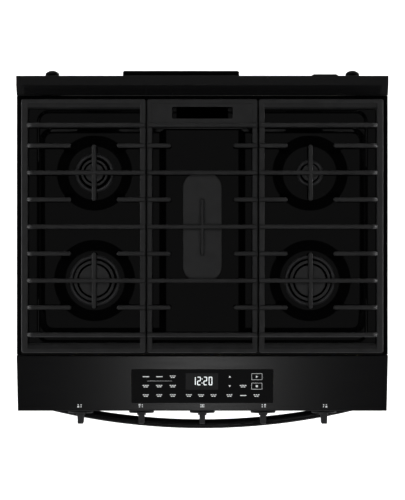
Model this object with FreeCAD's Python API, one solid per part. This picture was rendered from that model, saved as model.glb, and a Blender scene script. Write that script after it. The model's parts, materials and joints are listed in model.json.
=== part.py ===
"""Freestanding gas range, about 76 cm wide, as separate named pieces.

The cooktop carries four round burners, one oval burner and three cast-iron grates. Five knobs sit
on the front face under a sloping control surface. A drop-down oven door, two racks, a fan and a
storage drawer are below. +X is to the right for someone facing the range, -Y is the front and +Z
is up. The origin is on the floor under the middle of the range. Lengths are in millimetres.
"""
import FreeCAD
import Part
import math
import os

V = FreeCAD.Vector

# ---------------------------------------------------------------- driving dimensions
WIDTH = 758.8                 # across the side panels
DEPTH = 745.8                 # from the bow of the handle to the rear cover
HALF = WIDTH / 2
FRONT = -DEPTH / 2            # outermost point of the handle
BACK = DEPTH / 2              # outermost point of the rear cover and bumpers
GRATE_TOP = 940.0             # cooking surface above the floor
RIM_Z = 912.0                 # flat rim of the cooktop
LEDGE_Z = 907.0               # ledges behind and in front of the wells
WELL_Z = 898.0                # floor of the wells
PLATEAU_Z = 905.0             # raised middle of the cooktop
PAD_Z = 903.0                 # raised pad under each round burner
SHEET = 1.5                   # pressed sheet steel
COOKTOP_SHEET = 2.0

BODY_FRONT = -287.0           # plane that the oven door closes against
BODY_BACK = 355.0             # outside of the back panel
BODY_LOW = 30.0               # lower edge of the side panels
BODY_HIGH = 886.0             # upper edge of the side panels
SKIRT = 26.0                  # height of the cooktop's turned-down edge
COOKTOP_FRONT = -211.5
COOKTOP_BACK = 317.5

# Sloping control surface and the knob face under it
PANEL_BACK = -213.0
PANEL_BACK_Z = 914.0
PANEL_FRONT = -328.7
PANEL_EDGE_Z = 878.0
PANEL_LOW_Z = 790.0
PANEL_SHEET = 2.5
SLOPE = math.atan2(PANEL_BACK_Z - PANEL_EDGE_Z, PANEL_BACK - PANEL_FRONT)
NOTCH_BACK = -262.0           # corner taken out of the side panels under the slope
NOTCH_LOW = 880.0
GLASS_WIDTH = 290.0
GLASS_LENGTH = 73.0           # measured along the slope
GLASS_MIDDLE = -277.0         # Y of the glass's centre
GLASS_THICK = 3.0

# Knobs and valves
KNOB_PITCH = 126.1
KNOB_X = [KNOB_PITCH * step for step in (-2, -1, 0, 1, 2)]
KNOB_Z = 829.0
KNOB_BACK = -331.9
KNOB_TIP = -357.1
SKIRT_R = 26.0
SKIRT_THICK = 3.2
GRIP_WIDTH = 12.2
STEM_R = 4.0
STEM_FIT = 0.06               # radial clearance between stem and knob
MANIFOLD_Y = -246.0
MANIFOLD_R = 9.5
MANIFOLD_END = 345.0          # X of the feed from the regulator
REGULATOR_Y = 290.0
REGULATOR_Z = 122.0
GAS_INLET_R = 9.5
GAS_INLET_DEEP = 16.0

# Cord inlet in the rear cover
INLET_R = 11.0
INLET_X = -120.0
INLET_Z = 250.0

# Burners
BURNER_X = 220.2
BURNER_REAR_Y = 159.7
BURNER_FRONT_Y = -60.2
OVAL_Y = 49.0
OVAL_LENGTH = 222.0
OVAL_WIDTH = 80.0
OVAL_CORNER = 31.0
CAP_TOP = 923.0
# Each round burner: X, Y, then the radii of its cap, base and inner groove
ROUND_BURNERS = {
    "left_rear": (-BURNER_X, BURNER_REAR_Y, 27.7, 40.0, 19.5),
    "left_front": (-BURNER_X, BURNER_FRONT_Y, 41.7, 52.3, 32.4),
    "right_front": (BURNER_X, BURNER_FRONT_Y, 41.7, 52.3, 32.4),
    "right_rear": (BURNER_X, BURNER_REAR_Y, 17.5, 27.7, 12.0),
}
CAP_THICK = 6.0
HEAD_WALL = 9.0
BASE_STEP = 3.5               # height of a base's shelf over its pad
THROAT_DEEP = 24.0

# Grates
GRATE_EDGE = 368.9            # outer side of the side grates
SEAM_SIDE = 115.3             # inner side of the side grates
SEAM_MIDDLE = 112.5           # side of the middle grate
GRATE_BACK = 310.0
GRATE_FRONT = -207.2
FRAME_TOP = 931.0             # the frame is lower than the bars
BAR_WIDTH = 9.2
BAR_LOW = 927.5
ROWS = [256.5, 214.8, 159.7, 105.0, 49.5, -5.2, -60.2, -114.9, -170.4]
FINGER_GAP = 46.3             # half gap between opposite fingers over a burner
CROSS_REACH = 57.5            # half length of the finger along Y
FINGER_INNER = 63.7           # where the middle grate's short fingers end
BEND = 15.0                   # length of the bend where a bar drops to its side rail

# Door, drawer and oven
DOOR_FRONT = -316.0
DOOR_LOW = 235.0
DOOR_HIGH = 784.0
DOOR_HALF = 376.5
DOOR_BACK = -290.5
HINGE_X = 330.0
HINGE_Y = -303.5
HINGE_Z = 243.0
HANDLE_Z = 745.0
HANDLE_THICK = 18.5
HANDLE_HIGH = 28.0
HANDLE_RADIUS = 1375.0
HANDLE_END = 320.0
HANDLE_POST_X = 330.0
HANDLE_BLOCK_Y = FRONT + HANDLE_RADIUS - math.sqrt(HANDLE_RADIUS ** 2 - HANDLE_END ** 2)
WINDOW_HALF = 255.0
WINDOW_LOW = 350.0
WINDOW_HIGH = 655.0
DRAWER_LOW = 88.0
DRAWER_HIGH = 222.0
DRAWER_FLOOR = 76.0
DRAWER_HALF = 338.0
DRAWER_BACK = 190.0
OVEN_HALF = 304.0
OVEN_LOW = 262.0
OVEN_HIGH = 744.0
OVEN_BACK = 200.0
INSULATION = 34.0
RACK_LEVELS = {"oven_rack_lower": 425.0, "oven_rack_upper": 585.0}
RACK_FRONT = -262.0
RACK_BACK = 160.0
RACK_HALF = 296.0
RACK_WIRE_R = 3.0
RACK_CROSS_R = 2.6
RACK_ROD_R = 2.0
RACK_BEND = 18.0
RACK_RODS = 17
GUIDE_LEVELS = [345.0] + sorted(RACK_LEVELS.values()) + [505.0, 665.0]
FAN_Z = 500.0
LAMP_X, LAMP_Z = -210.0, 670.0
PROBE_X, PROBE_Z = 215.0, 690.0
FLUE_HALF = 59.0
FLUE_LOW, FLUE_HIGH = 830.0, 862.0
VENT_FRONT, VENT_BACK = 270.0, 294.0
LEG_X = 352.0
LEG_Y = (-245.0, 320.0)
LEG_STUD_R = 5.0


# ---------------------------------------------------------------- small helpers
def box(x0, x1, y0, y1, z0, z1):
    return Part.makeBox(x1 - x0, y1 - y0, z1 - z0, V(x0, y0, z0))


def rod(radius, start, end):
    start, end = V(*start), V(*end)
    return Part.makeCylinder(radius, (end - start).Length, start, end - start)


def fuse(shapes):
    shapes = list(shapes)
    if len(shapes) == 1:
        return shapes[0]
    return shapes[0].multiFuse(shapes[1:]).removeSplitter()


def cut(shape, tools):
    return shape.cut(Part.makeCompound(list(tools))).removeSplitter()


def group(shapes):
    """Separate solids kept together in one node."""
    return Part.makeCompound(list(shapes))


def flipped(shape):
    """The same shape mirrored to the other side of the range."""
    return shape.mirror(V(0, 0, 0), V(1, 0, 0))


def extruded_yz(points, x0, x1):
    """A prism along X with a polygon of (y, z) points as its section."""
    corners = [V(x0, y, z) for y, z in points]
    return Part.Face(Part.makePolygon(corners + corners[:1])).extrude(V(x1 - x0, 0, 0))


def extruded_xz(points, y0, y1):
    """A prism along Y with a polygon of (x, z) points as its section."""
    corners = [V(x, y0, z) for x, z in points]
    return Part.Face(Part.makePolygon(corners + corners[:1])).extrude(V(0, y1 - y0, 0))


def rounded_wire(x0, x1, y0, y1, z, radius):
    """A rectangle with round corners, flat at height z."""
    lines, arcs = [], []
    corners = [(x1, y1, 0), (x0, y1, 90), (x0, y0, 180), (x1, y0, 270)]
    ends = []
    for x, y, start in corners:
        centre = V(x - math.copysign(radius, x - (x0 + x1) / 2),
                   y - math.copysign(radius, y - (y0 + y1) / 2), z)
        points = []
        for turn in (0, 45, 90):
            angle = math.radians(start + turn)
            points.append(centre + V(radius * math.cos(angle), radius * math.sin(angle), 0))
        arcs.append(Part.Arc(*points).toShape())
        ends.append((points[0], points[2]))
    for index in range(4):
        lines.append(Part.LineSegment(ends[index][1], ends[(index + 1) % 4][0]).toShape())
    edges = []
    for arc, line in zip(arcs, lines):
        edges += [arc, line]
    return Part.Wire(edges)


def rounded_block(x0, x1, y0, y1, z0, z1, radius):
    face = Part.Face(rounded_wire(x0, x1, y0, y1, z0, radius))
    return face.extrude(V(0, 0, z1 - z0))


def tapered(low, high, z_low, z_high):
    """A solid between two round-cornered rectangles given as (x0, x1, y0, y1, radius)."""
    wires = [rounded_wire(*low[:4], z_low, low[4]), rounded_wire(*high[:4], z_high, high[4])]
    return Part.makeLoft(wires, True, True)


def edges_where(shape, test):
    """The edges whose ends and middle all pass the test."""
    chosen = []
    for edge in shape.Edges:
        middle = edge.valueAt((edge.FirstParameter + edge.LastParameter) / 2)
        if all(test(point) for point in [middle] + [v.Point for v in edge.Vertexes]):
            chosen.append(edge)
    return chosen


def long_edges(shape, test, least=100.0):
    """The edges that pass the test and run far across the range."""
    return [edge for edge in edges_where(shape, test)
            if abs(edge.Vertexes[0].X - edge.Vertexes[-1].X) > least]


def near(value, target, margin=0.01):
    return abs(value - target) < margin


def on_slope(shape):
    """Moves a shape drawn flat around the origin onto the sloping control surface."""
    drop = (GLASS_MIDDLE - PANEL_FRONT) * math.tan(SLOPE)
    turn = FreeCAD.Rotation(V(1, 0, 0), math.degrees(SLOPE))
    moved = shape.copy()
    moved.Placement = FreeCAD.Placement(V(0, GLASS_MIDDLE, PANEL_EDGE_Z + drop), turn)
    return moved


# ---------------------------------------------------------------- body
def side_panel():
    """Left side: an outer skin with flanges turned in at the front, back and foot."""
    depth_in = 20.0
    front = BODY_FRONT + 2
    outer, inner = -HALF, -HALF + SHEET
    panel = fuse([
        box(outer, inner, front, BODY_BACK, BODY_LOW, BODY_HIGH),
        box(outer, outer + depth_in, front, front + SHEET, BODY_LOW, BODY_HIGH),
        box(outer, outer + depth_in, BODY_BACK - SHEET, BODY_BACK, BODY_LOW, BODY_HIGH),
        box(outer, outer + depth_in, front, BODY_BACK, BODY_LOW, BODY_LOW + SHEET),
    ])
    under_slope = box(outer - 1, outer + depth_in + 1, front - 1, NOTCH_BACK, NOTCH_LOW, BODY_HIGH + 1)
    return panel.cut(under_slope)


def back_panel():
    """Back sheet between the side panels, with louvre slots and a corner left open for the gas."""
    half = HALF - 20.5
    y0, y1 = BODY_BACK - SHEET, BODY_BACK
    slot_half, slot_high, slot_pitch = 34.0, 5.0, 16.0
    holes = []
    for x in (-255, 180):
        for row in range(8):
            z = 700 + row * slot_pitch
            holes.append(box(x - slot_half, x + slot_half, y0 - 1, y1 + 1, z, z + slot_high))
    notch = box(130, half + 1, y0 - 1, y1 + 1, BODY_LOW, 175)
    window = box(-60, 60, y0 - 1, y1 + 1, FAN_Z - 60, FAN_Z + 60)
    plate = box(-half, half, y0, y1, BODY_LOW + 30, 880)
    stiffener = box(225, 280, y1, BODY_BACK + 4.5, 520, 846)
    return fuse([cut(plate, holes + [notch, window]), stiffener])


def rear_cover():
    """Shallow box over the fan motor and wiring, with vents and the cord's inlet hole."""
    x0, x1, z0, z1 = -164.0, 76.0, 210.0, 850.0
    shell = box(x0, x1, BODY_BACK, BACK, z0, z1)
    edges = edges_where(shell, lambda p: near(p.y, BACK))
    shell = shell.makeFillet(4.0, edges)
    inside = box(x0 + SHEET, x1 - SHEET, BODY_BACK - 1, BACK - SHEET, z0 + SHEET, z1 - SHEET)
    holes = [inside.makeFillet(2.5, edges_where(inside, lambda p: near(p.y, BACK - SHEET)))]
    for column in (-114, -44, 26):
        for row in range(9):
            z = 640 + row * 16
            holes.append(box(column - 26, column + 26, BACK - 3, BACK + 1, z, z + 5))
    holes.append(rod(INLET_R, (INLET_X, BODY_BACK - 1, INLET_Z), (INLET_X, BACK + 1, INLET_Z)))
    return cut(shell, holes)


def rear_bumpers():
    """Two domed rubber stops that hold the range off the wall."""
    bumpers = []
    reach = BACK - BODY_BACK
    radius = 14.0
    for x in (-310.0, 310.0):
        stem = rod(radius, (x, BODY_BACK, 850), (x, BACK - 7, 850))
        dome = Part.makeSphere(reach + 1, V(x, BODY_BACK - 1, 850))
        core = rod(radius, (x, BODY_BACK, 850), (x, BACK, 850))
        bumpers.append(stem.fuse(dome.common(core)).removeSplitter())
    return group(bumpers)


def rear_trim():
    """Low folded rail behind the cooktop, closed at both ends."""
    low = BODY_HIGH + 0.5
    outer = [(318.7, low), (318.7, 913), (338.5, 930), (357.5, 930), (357.5, low)]
    inner = [(320.2, 880), (320.2, 912.3), (339.0, 928.5), (356.0, 928.5), (356.0, 880)]
    skin = extruded_yz(outer, -HALF, HALF)
    crease = long_edges(skin, lambda p: near(p.z, 930) or (near(p.y, 318.7) and near(p.z, 913)))
    skin = skin.makeFillet(1.2, crease)
    hollow = extruded_yz(inner, -HALF + SHEET, HALF - SHEET)
    return cut(skin, [hollow])


def base_frame():
    """Two side channels and two cross rails that carry the legs."""
    low, high = BODY_LOW + SHEET, 58.0
    rail_x0, rail_x1 = -HALF + 21, -332.0
    wall = 3.0
    parts = []
    for x0, x1 in ((rail_x0, rail_x1), (-rail_x1, -rail_x0)):
        channel = box(x0, x1, BODY_FRONT + 6, BODY_BACK - 3, low, high)
        hollow = box(x0 + wall, x1 - wall, BODY_FRONT, BODY_BACK, low + wall, high + 1)
        parts.append(channel.cut(hollow))
    for y0 in (BODY_FRONT + 6, BODY_BACK - 23):
        parts.append(box(rail_x1 - 1, -rail_x1 + 1, y0, y0 + 20, low, low + wall))
        parts.append(box(rail_x1 - 1, -rail_x1 + 1, y0, y0 + wall, low, high - 8))
    frame = fuse(parts)
    nuts, holes = [], []
    for x in (-LEG_X, LEG_X):
        for y in LEG_Y:
            nuts.append(rod(9.0, (x, y, low), (x, y, low + 14)))
            holes.append(rod(LEG_STUD_R + 0.08, (x, y, 0), (x, y, high + 20)))
    return cut(fuse([frame] + nuts), holes)


def leveling_leg(x, y):
    """Foot with a wrench hexagon and a stud that screws into the base."""
    foot = Part.makeCone(15.0, 17.0, 3.0, V(x, y, 0)).fuse(rod(17.0, (x, y, 3), (x, y, 9)))
    across = 11.0
    corners = []
    for side in range(6):
        angle = math.radians(60 * side)
        corners.append(V(x + across * math.cos(angle), y + across * math.sin(angle), 9))
    hexagon = Part.Face(Part.makePolygon(corners + corners[:1])).extrude(V(0, 0, 9))
    stud = rod(LEG_STUD_R, (x, y, 18), (x, y, 56))
    return fuse([foot, hexagon, stud])


def front_frame():
    """Face frame around the oven and drawer openings, with the hinge brackets."""
    y0, y1 = BODY_FRONT, BODY_FRONT + 2
    plate = box(-HALF + 1, HALF - 1, y0, y1, 62, 789)
    oven = rounded_block_xz(-OVEN_HALF, OVEN_HALF, y0 - 1, y1 + 1, OVEN_LOW, OVEN_HIGH, 14)
    drawer = box(-345, 345, y0 - 1, y1 + 1, 60, 226)
    plate = cut(plate, [oven, drawer])
    brackets = []
    for x in (-HINGE_X, HINGE_X):
        arm = box(x - 2, x + 2, HINGE_Y, y0 + 0.5, HINGE_Z - 5, HINGE_Z + 5)
        eye = rod(5.0, (x - 2, HINGE_Y, HINGE_Z), (x + 2, HINGE_Y, HINGE_Z))
        pin = rod(3.0, (x - 9, HINGE_Y, HINGE_Z), (x + 9, HINGE_Y, HINGE_Z))
        brackets += [arm, eye, pin]
    return fuse([plate] + brackets)


def rounded_block_xz(x0, x1, y0, y1, z0, z1, radius):
    """A block along Y whose (x, z) outline has round corners."""
    block = box(x0, x1, y0, y1, z0, z1)
    corners = edges_where(block, lambda p: (near(p.x, x0) or near(p.x, x1))
                          and (near(p.z, z0) or near(p.z, z1)))
    return block.makeFillet(radius, corners)


# ---------------------------------------------------------------- oven
def oven_liner():
    """Enamelled oven cavity: a deep box open at the front, with rack guides on its sides."""
    front = BODY_FRONT + 2
    outer = rounded_block_xz(-OVEN_HALF - SHEET, OVEN_HALF + SHEET, front, OVEN_BACK + SHEET,
                             OVEN_LOW - SHEET, OVEN_HIGH + SHEET, 15.5)
    inner = rounded_block_xz(-OVEN_HALF, OVEN_HALF, front - 1, OVEN_BACK,
                             OVEN_LOW, OVEN_HIGH, 14)
    holes = [inner,
             rod(9.0, (0, OVEN_BACK - 2, FAN_Z), (0, OVEN_BACK + 4, FAN_Z)),
             box(-55, 55, 140, 170, OVEN_HIGH - 2, OVEN_HIGH + 4),
             rod(16.0, (LAMP_X, OVEN_BACK - 2, LAMP_Z), (LAMP_X, OVEN_BACK + 4, LAMP_Z))]
    shell = cut(outer, holes)
    guides = []
    for level in GUIDE_LEVELS:
        top = level - RACK_WIRE_R - 0.4
        section = [(-OVEN_HALF - 0.5, top - 12), (-OVEN_HALF + 14, top - 4),
                   (-OVEN_HALF + 14, top), (-OVEN_HALF - 0.5, top)]
        guide = extruded_xz(section, front + 20, OVEN_BACK - 25)
        guides += [guide, flipped(guide)]
    return fuse([shell] + guides)


def oven_insulation():
    """Glass-wool blanket round the cavity, open at the front."""
    gap = SHEET + 0.5
    grow = INSULATION
    outer = box(-OVEN_HALF - grow, OVEN_HALF + grow, BODY_FRONT + 8, OVEN_BACK + grow,
                OVEN_LOW - 20, OVEN_HIGH + grow)
    inner = box(-OVEN_HALF - gap, OVEN_HALF + gap, BODY_FRONT, OVEN_BACK + gap,
                OVEN_LOW - gap, OVEN_HIGH + gap)
    motor = rod(46.0, (0, OVEN_BACK, FAN_Z), (0, OVEN_BACK + 60, FAN_Z))
    flue = box(-60, 60, 135, 175, OVEN_HIGH, OVEN_HIGH + 50)
    lamp = rod(22.0, (LAMP_X, OVEN_BACK, LAMP_Z), (LAMP_X, OVEN_BACK + 60, LAMP_Z))
    return cut(outer, [inner, motor, flue, lamp])


def oven_floor():
    """Lift-out floor over the bake burner, slotted along both sides."""
    low = OVEN_LOW + 30
    plate = rounded_block(-296, 296, BODY_FRONT + 20, OVEN_BACK - 4, low, low + 1.5, 12)
    feet = []
    for x in (-287, 285.5):
        feet.append(box(x, x + SHEET, BODY_FRONT + 40, OVEN_BACK - 20, OVEN_LOW, low + 0.5))
    slots = []
    for x in (-262, 262):
        for index in range(7):
            y = -225 + index * 60
            slots.append(rounded_block(x - 5, x + 5, y, y + 44, low - 1, low + 3, 4.9))
    return fuse([cut(plate, slots)] + feet)


def bake_burner():
    """Straight bake burner tube under the oven floor, on two saddle feet."""
    z = OVEN_LOW + 14
    tube = rod(10.0, (0, -215, z), (0, 160, z))
    tail = rod(6.5, (0, 150, z), (0, OVEN_BACK, z))
    feet = [box(-14, 14, y, y + 4, OVEN_LOW, z + 3) for y in (-200, 140)]
    return fuse([tube, tail] + feet)


def broil_burner():
    """Broil burner under the oven roof: a tube with a flame-spreader plate over it."""
    z = OVEN_HIGH - 26
    tube = rod(9.0, (0, -190, z), (0, 110, z))
    tail = rod(6.0, (0, 100, z), (0, OVEN_BACK, z))
    spreader = box(-120, 120, -200, 120, z + 8.5, z + 10)
    wings = [box(-121.5, -119.5, -200, 120, z - 5, z + 10)]
    wings.append(flipped(wings[0]))
    hangers = [box(x - 6, x + 6, y, y + 2, z + 9.5, OVEN_HIGH)
               for x in (-100, 100) for y in (-180, 90)]
    return fuse([tube, tail, spreader] + wings + hangers)


def convection_cover():
    """Dished cover over the fan on the oven's back wall, with a round grille."""
    x1, z0, z1 = 115.0, FAN_Z - 115, FAN_Z + 115
    y0 = OVEN_BACK - 26
    shell = box(-x1, x1, y0, OVEN_BACK, z0, z1)
    shell = shell.makeFillet(8.0, edges_where(shell, lambda p: near(p.y, y0)))
    room = box(-x1 + SHEET, x1 - SHEET, y0 + SHEET, OVEN_BACK + 1, z0 + SHEET, z1 - SHEET)
    holes = [room.makeFillet(6.5, edges_where(room, lambda p: near(p.y, y0 + SHEET)))]
    for ring, count in ((20, 6), (40, 12), (60, 18)):
        for index in range(count):
            angle = 2 * math.pi * index / count
            x, z = ring * math.cos(angle), FAN_Z + ring * math.sin(angle)
            holes.append(rod(6.0, (x, y0 - 1, z), (x, y0 + 4, z)))
    for side in (-1, 1):
        for row in range(7):
            z = FAN_Z - 78 + row * 26
            x = side * (x1 - 1)
            holes.append(box(x - 3, x + 3, y0 + 10, OVEN_BACK - 4, z - 8, z + 8))
    return cut(shell, holes)


def convection_fan():
    """Fan wheel with bent blades on the motor's shaft."""
    y0, y1 = OVEN_BACK - 19, OVEN_BACK - 5
    disc = rod(78.0, (0, y1 - 1.5, FAN_Z), (0, y1, FAN_Z))
    hub = rod(11.0, (0, y0, FAN_Z), (0, y1, FAN_Z))
    blades = []
    for index in range(8):
        blade = box(28, 76, y0, y1 - 1, -0.8, 0.8)
        blade.rotate(V(28, 0, 0), V(0, 1, 0), 25)
        blade.rotate(V(0, 0, 0), V(0, 1, 0), 45 * index)
        blade.translate(V(0, 0, FAN_Z))
        blades.append(blade)
    shaft = rod(4.0, (0, y1 - 1, FAN_Z), (0, OVEN_BACK + 16, FAN_Z))
    return fuse([disc, hub, shaft] + blades)


def fan_motor():
    """Fan motor behind the cavity, with its mounting strap."""
    y0 = OVEN_BACK + SHEET
    bell = rod(38.0, (0, y0 + 8, FAN_Z), (0, y0 + 60, FAN_Z))
    strap = box(-44, 44, y0 + 4, y0 + 10, FAN_Z - 12, FAN_Z + 12)
    feet = [rod(4.0, (x, y0, FAN_Z), (x, y0 + 6, FAN_Z)) for x in (-38, 38)]
    bore = rod(4.08, (0, y0 - 1, FAN_Z), (0, y0 + 40, FAN_Z))
    return cut(fuse([bell, strap] + feet), [bore])


def oven_lamp():
    """Lamp with a domed glass in the oven's back wall."""
    x, z = LAMP_X, LAMP_Z
    socket = rod(15.5, (x, OVEN_BACK - 1, z), (x, OVEN_BACK + 42, z))
    flange = rod(24.0, (x, OVEN_BACK - 4, z), (x, OVEN_BACK, z))
    dome = Part.makeSphere(19.0, V(x, OVEN_BACK - 4, z))
    front = box(x - 30, x + 30, OVEN_BACK - 40, OVEN_BACK - 3, z - 30, z + 30)
    return fuse([socket, flange, dome.common(front)])


def oven_probe():
    """Temperature probe that stands out of the back wall."""
    x, z = PROBE_X, PROBE_Z
    flange = rod(9.0, (x, OVEN_BACK - 2, z), (x, OVEN_BACK, z))
    stem = rod(3.0, (x, OVEN_BACK - 110, z), (x, OVEN_BACK - 1, z))
    tip = Part.makeSphere(3.0, V(x, OVEN_BACK - 110, z))
    return fuse([flange, stem, tip])


def flue_duct():
    """Duct from the oven's roof up and back to the vent behind the middle grate."""
    wall = 1.5
    low, high = OVEN_HIGH + SHEET, BODY_HIGH + 8
    front, riser = 138.0, 172.0
    vent_front, vent_back = VENT_FRONT - 4, VENT_BACK + 4
    outer = [(front, low), (riser, low), (riser, FLUE_LOW), (vent_back, FLUE_LOW),
             (vent_back, high), (vent_front, high), (vent_front, FLUE_HIGH), (front, FLUE_HIGH)]
    inner = [(front + wall, low - 1), (riser - wall, low - 1), (riser - wall, FLUE_LOW + wall),
             (vent_back - wall, FLUE_LOW + wall), (vent_back - wall, high + 1),
             (vent_front + wall, high + 1), (vent_front + wall, FLUE_HIGH - wall),
             (front + wall, FLUE_HIGH - wall)]
    duct = extruded_yz(outer, -FLUE_HALF, FLUE_HALF)
    return duct.cut(extruded_yz(inner, -FLUE_HALF + wall, FLUE_HALF - wall))


def oven_rack(level):
    """Wire rack: a rim, two cross wires and rods from front to back."""
    wire, bend = RACK_WIRE_R, RACK_BEND
    middle = (RACK_FRONT + RACK_BACK) / 2
    rim = []
    for x in (-RACK_HALF, RACK_HALF):
        rim.append(rod(wire, (x, RACK_FRONT + bend, level), (x, RACK_BACK - bend, level)))
    for y in (RACK_FRONT, RACK_BACK):
        rim.append(rod(wire, (-RACK_HALF + bend, y, level), (RACK_HALF - bend, y, level)))
    corners = [(RACK_HALF, RACK_BACK), (-RACK_HALF, RACK_BACK),
               (-RACK_HALF, RACK_FRONT), (RACK_HALF, RACK_FRONT)]
    for quarter, (x, y) in enumerate(corners):
        centre = V(x - math.copysign(bend, x), y - math.copysign(bend, y - middle), level)
        elbow = Part.makeTorus(bend, wire, centre, V(0, 0, 1), 0, 360, 90)
        elbow.rotate(centre, V(0, 0, 1), 90 * quarter)
        rim.append(elbow)
    reach = RACK_HALF + 0.5
    cross = [rod(RACK_CROSS_R, (-reach, y, level), (reach, y, level)) for y in (-120, 20)]
    rods = []
    first, height = -272.0, level + 3.2
    for index in range(RACK_RODS):
        x = first - 2 * first * index / (RACK_RODS - 1)
        rods.append(rod(RACK_ROD_R, (x, RACK_FRONT - 0.4, height), (x, RACK_BACK + 0.4, height)))
    return fuse(rim + cross + rods)


# ---------------------------------------------------------------- door
def door_glass():
    """Full-height outer glass of the door."""
    glass = rounded_block_xz(-DOOR_HALF, DOOR_HALF, DOOR_FRONT, DOOR_FRONT + 4,
                             DOOR_LOW, DOOR_HIGH, 5.0)
    rim = edges_where(glass, lambda p: near(p.y, DOOR_FRONT))
    return glass.makeChamfer(0.8, rim)


def door_shell():
    """Sheet tub behind the outer glass: back wall with a window, and four side walls."""
    y0, y1 = DOOR_FRONT + 4, DOOR_BACK - 6
    half, low, high = DOOR_HALF - 1.5, DOOR_LOW + 1.5, DOOR_HIGH - 1.5
    tub = box(-half, half, y0, y1, low, high)
    hollow = box(-half + SHEET, half - SHEET, y0 + SHEET, y1 + 1, low + SHEET, high - SHEET)
    window = box(-WINDOW_HALF, WINDOW_HALF, y0 - 1, y0 + 3, WINDOW_LOW, WINDOW_HIGH)
    vents = []
    for index in range(17):
        x = -288 + index * 36
        vents.append(box(x - 12, x + 12, y0 + 5, y0 + 9, high - 3, high + 1))
    posts = []
    for x in (-HANDLE_POST_X, HANDLE_POST_X):
        posts.append(rod(5.0, (x, y0, HANDLE_Z), (x, y1, HANDLE_Z)))
    return cut(fuse([cut(tub, [hollow])] + posts), [window] + vents + hinge_pockets())


def hinge_pockets():
    """Room at the foot of the door for the two fixed hinge brackets."""
    return [box(x - 11.5, x + 11.5, DOOR_FRONT + 5, DOOR_BACK + 1, DOOR_LOW, 254)
            for x in (-HINGE_X, HINGE_X)]


def door_liner():
    """Enamelled inner face of the door, raised in the middle, with the inner window."""
    y0, y1 = DOOR_BACK - 6, DOOR_BACK
    base = rounded_block_xz(-DOOR_HALF + 2, DOOR_HALF - 2, y0, y1, DOOR_LOW + 2, DOOR_HIGH - 2, 6)
    plug = rounded_block_xz(-OVEN_HALF + 14, OVEN_HALF - 14, y1 - 1, y1 + 14,
                            OVEN_LOW + 18, OVEN_HIGH - 16, 20)
    plug = plug.makeFillet(5.0, edges_where(plug, lambda p: near(p.y, y1 + 14)))
    hollow = box(-OVEN_HALF + 20, OVEN_HALF - 20, y0 - 1, y1 + 11, OVEN_LOW + 26, OVEN_HIGH - 24)
    window = rounded_block_xz(-200, 200, y0 - 1, y1 + 20, 400, 620, 18)
    return cut(fuse([base, plug]), [hollow, window] + hinge_pockets())


def door_inner_glass():
    """Two panes behind each other in the door's inner window."""
    inner = rounded_block_xz(-214, 214, DOOR_BACK + 7, DOOR_BACK + 11, 386, 634, 20)
    middle = rounded_block_xz(-262, 262, DOOR_FRONT + 6.5, DOOR_FRONT + 9.5, 343, 662, 8)
    return group([inner, middle])


def door_gasket():
    """Woven seal clipped to the door's inner face."""
    y0, y1 = DOOR_BACK, DOOR_BACK + 3.0
    outer = rounded_block_xz(-OVEN_HALF - 12, OVEN_HALF + 12, y0, y1,
                             OVEN_LOW - 3, OVEN_HIGH + 10, 24)
    inner = rounded_block_xz(-OVEN_HALF - 3, OVEN_HALF + 3, y0 - 1, y1 + 1,
                             OVEN_LOW + 6, OVEN_HIGH + 1, 18)
    return outer.cut(inner)


def hinge_arms():
    """Forked hinge halves inside the door, bored for the bracket pins."""
    arms = []
    for x in (-HINGE_X, HINGE_X):
        for inner, outer in ((x - 8.5, x - 3), (x + 3, x + 8.5)):
            eye = rod(6.0, (inner, HINGE_Y, HINGE_Z), (outer, HINGE_Y, HINGE_Z))
            leaf = box(inner, outer, HINGE_Y - 6, HINGE_Y + 6, HINGE_Z, 262)
            arms += [eye, leaf]
        arms.append(box(x - 8.5, x + 8.5, HINGE_Y - 6, HINGE_Y + 6, 257, 330))
    pins = [rod(3.06, (x - 12, HINGE_Y, HINGE_Z), (x + 12, HINGE_Y, HINGE_Z))
            for x in (-HINGE_X, HINGE_X)]
    left = fuse(arms[:5])
    right = fuse(arms[5:])
    return group([left.cut(pins[0]), right.cut(pins[1])])


def door_handle():
    """Bowed bar with an end block at each side, bolted through the door."""
    centre = V(0, FRONT + HANDLE_RADIUS, HANDLE_Z)
    outer_y = FRONT
    z0, z1 = HANDLE_Z - HANDLE_HIGH / 2, HANDLE_Z + HANDLE_HIGH / 2
    section = box_face_yz(outer_y, outer_y + HANDLE_THICK, z0, z1)
    sweep = 2 * math.degrees(math.asin(HANDLE_END / HANDLE_RADIUS))
    section.rotate(centre, V(0, 0, 1), -sweep / 2)
    bar = section.revolve(centre, V(0, 0, 1), sweep)
    bar = bar.makeFillet(8.6, long_edges(bar, lambda p: True))
    blocks = []
    for side in (-1, 1):
        x0, x1 = sorted((side * (HANDLE_END - 12), side * (HANDLE_END + 22)))
        block = box(x0, x1, HANDLE_BLOCK_Y, DOOR_FRONT, z0, z1)
        uprights = edges_where(block, lambda p: near(p.y, HANDLE_BLOCK_Y))
        blocks.append(block.makeFillet(8.0, uprights))
    return fuse([bar] + blocks)


def box_face_yz(y0, y1, z0, z1):
    corners = [V(0, y0, z0), V(0, y1, z0), V(0, y1, z1), V(0, y0, z1)]
    return Part.Face(Part.makePolygon(corners + corners[:1]))


# ---------------------------------------------------------------- drawer
def drawer_front():
    """Drawer front: a pan of sheet steel with a finger lip along its top."""
    y1 = DOOR_FRONT + 22
    pan = rounded_block_xz(-DOOR_HALF, DOOR_HALF, DOOR_FRONT, y1, DRAWER_LOW, DRAWER_HIGH, 4)
    rim = edges_where(pan, lambda p: near(p.y, DOOR_FRONT))
    pan = pan.makeFillet(2.5, rim)
    hollow = box(-DOOR_HALF + 3, DOOR_HALF - 3, DOOR_FRONT + 2, y1 - 2,
                 DRAWER_LOW + 3, DRAWER_HIGH - 3)
    return pan.cut(hollow)


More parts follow.
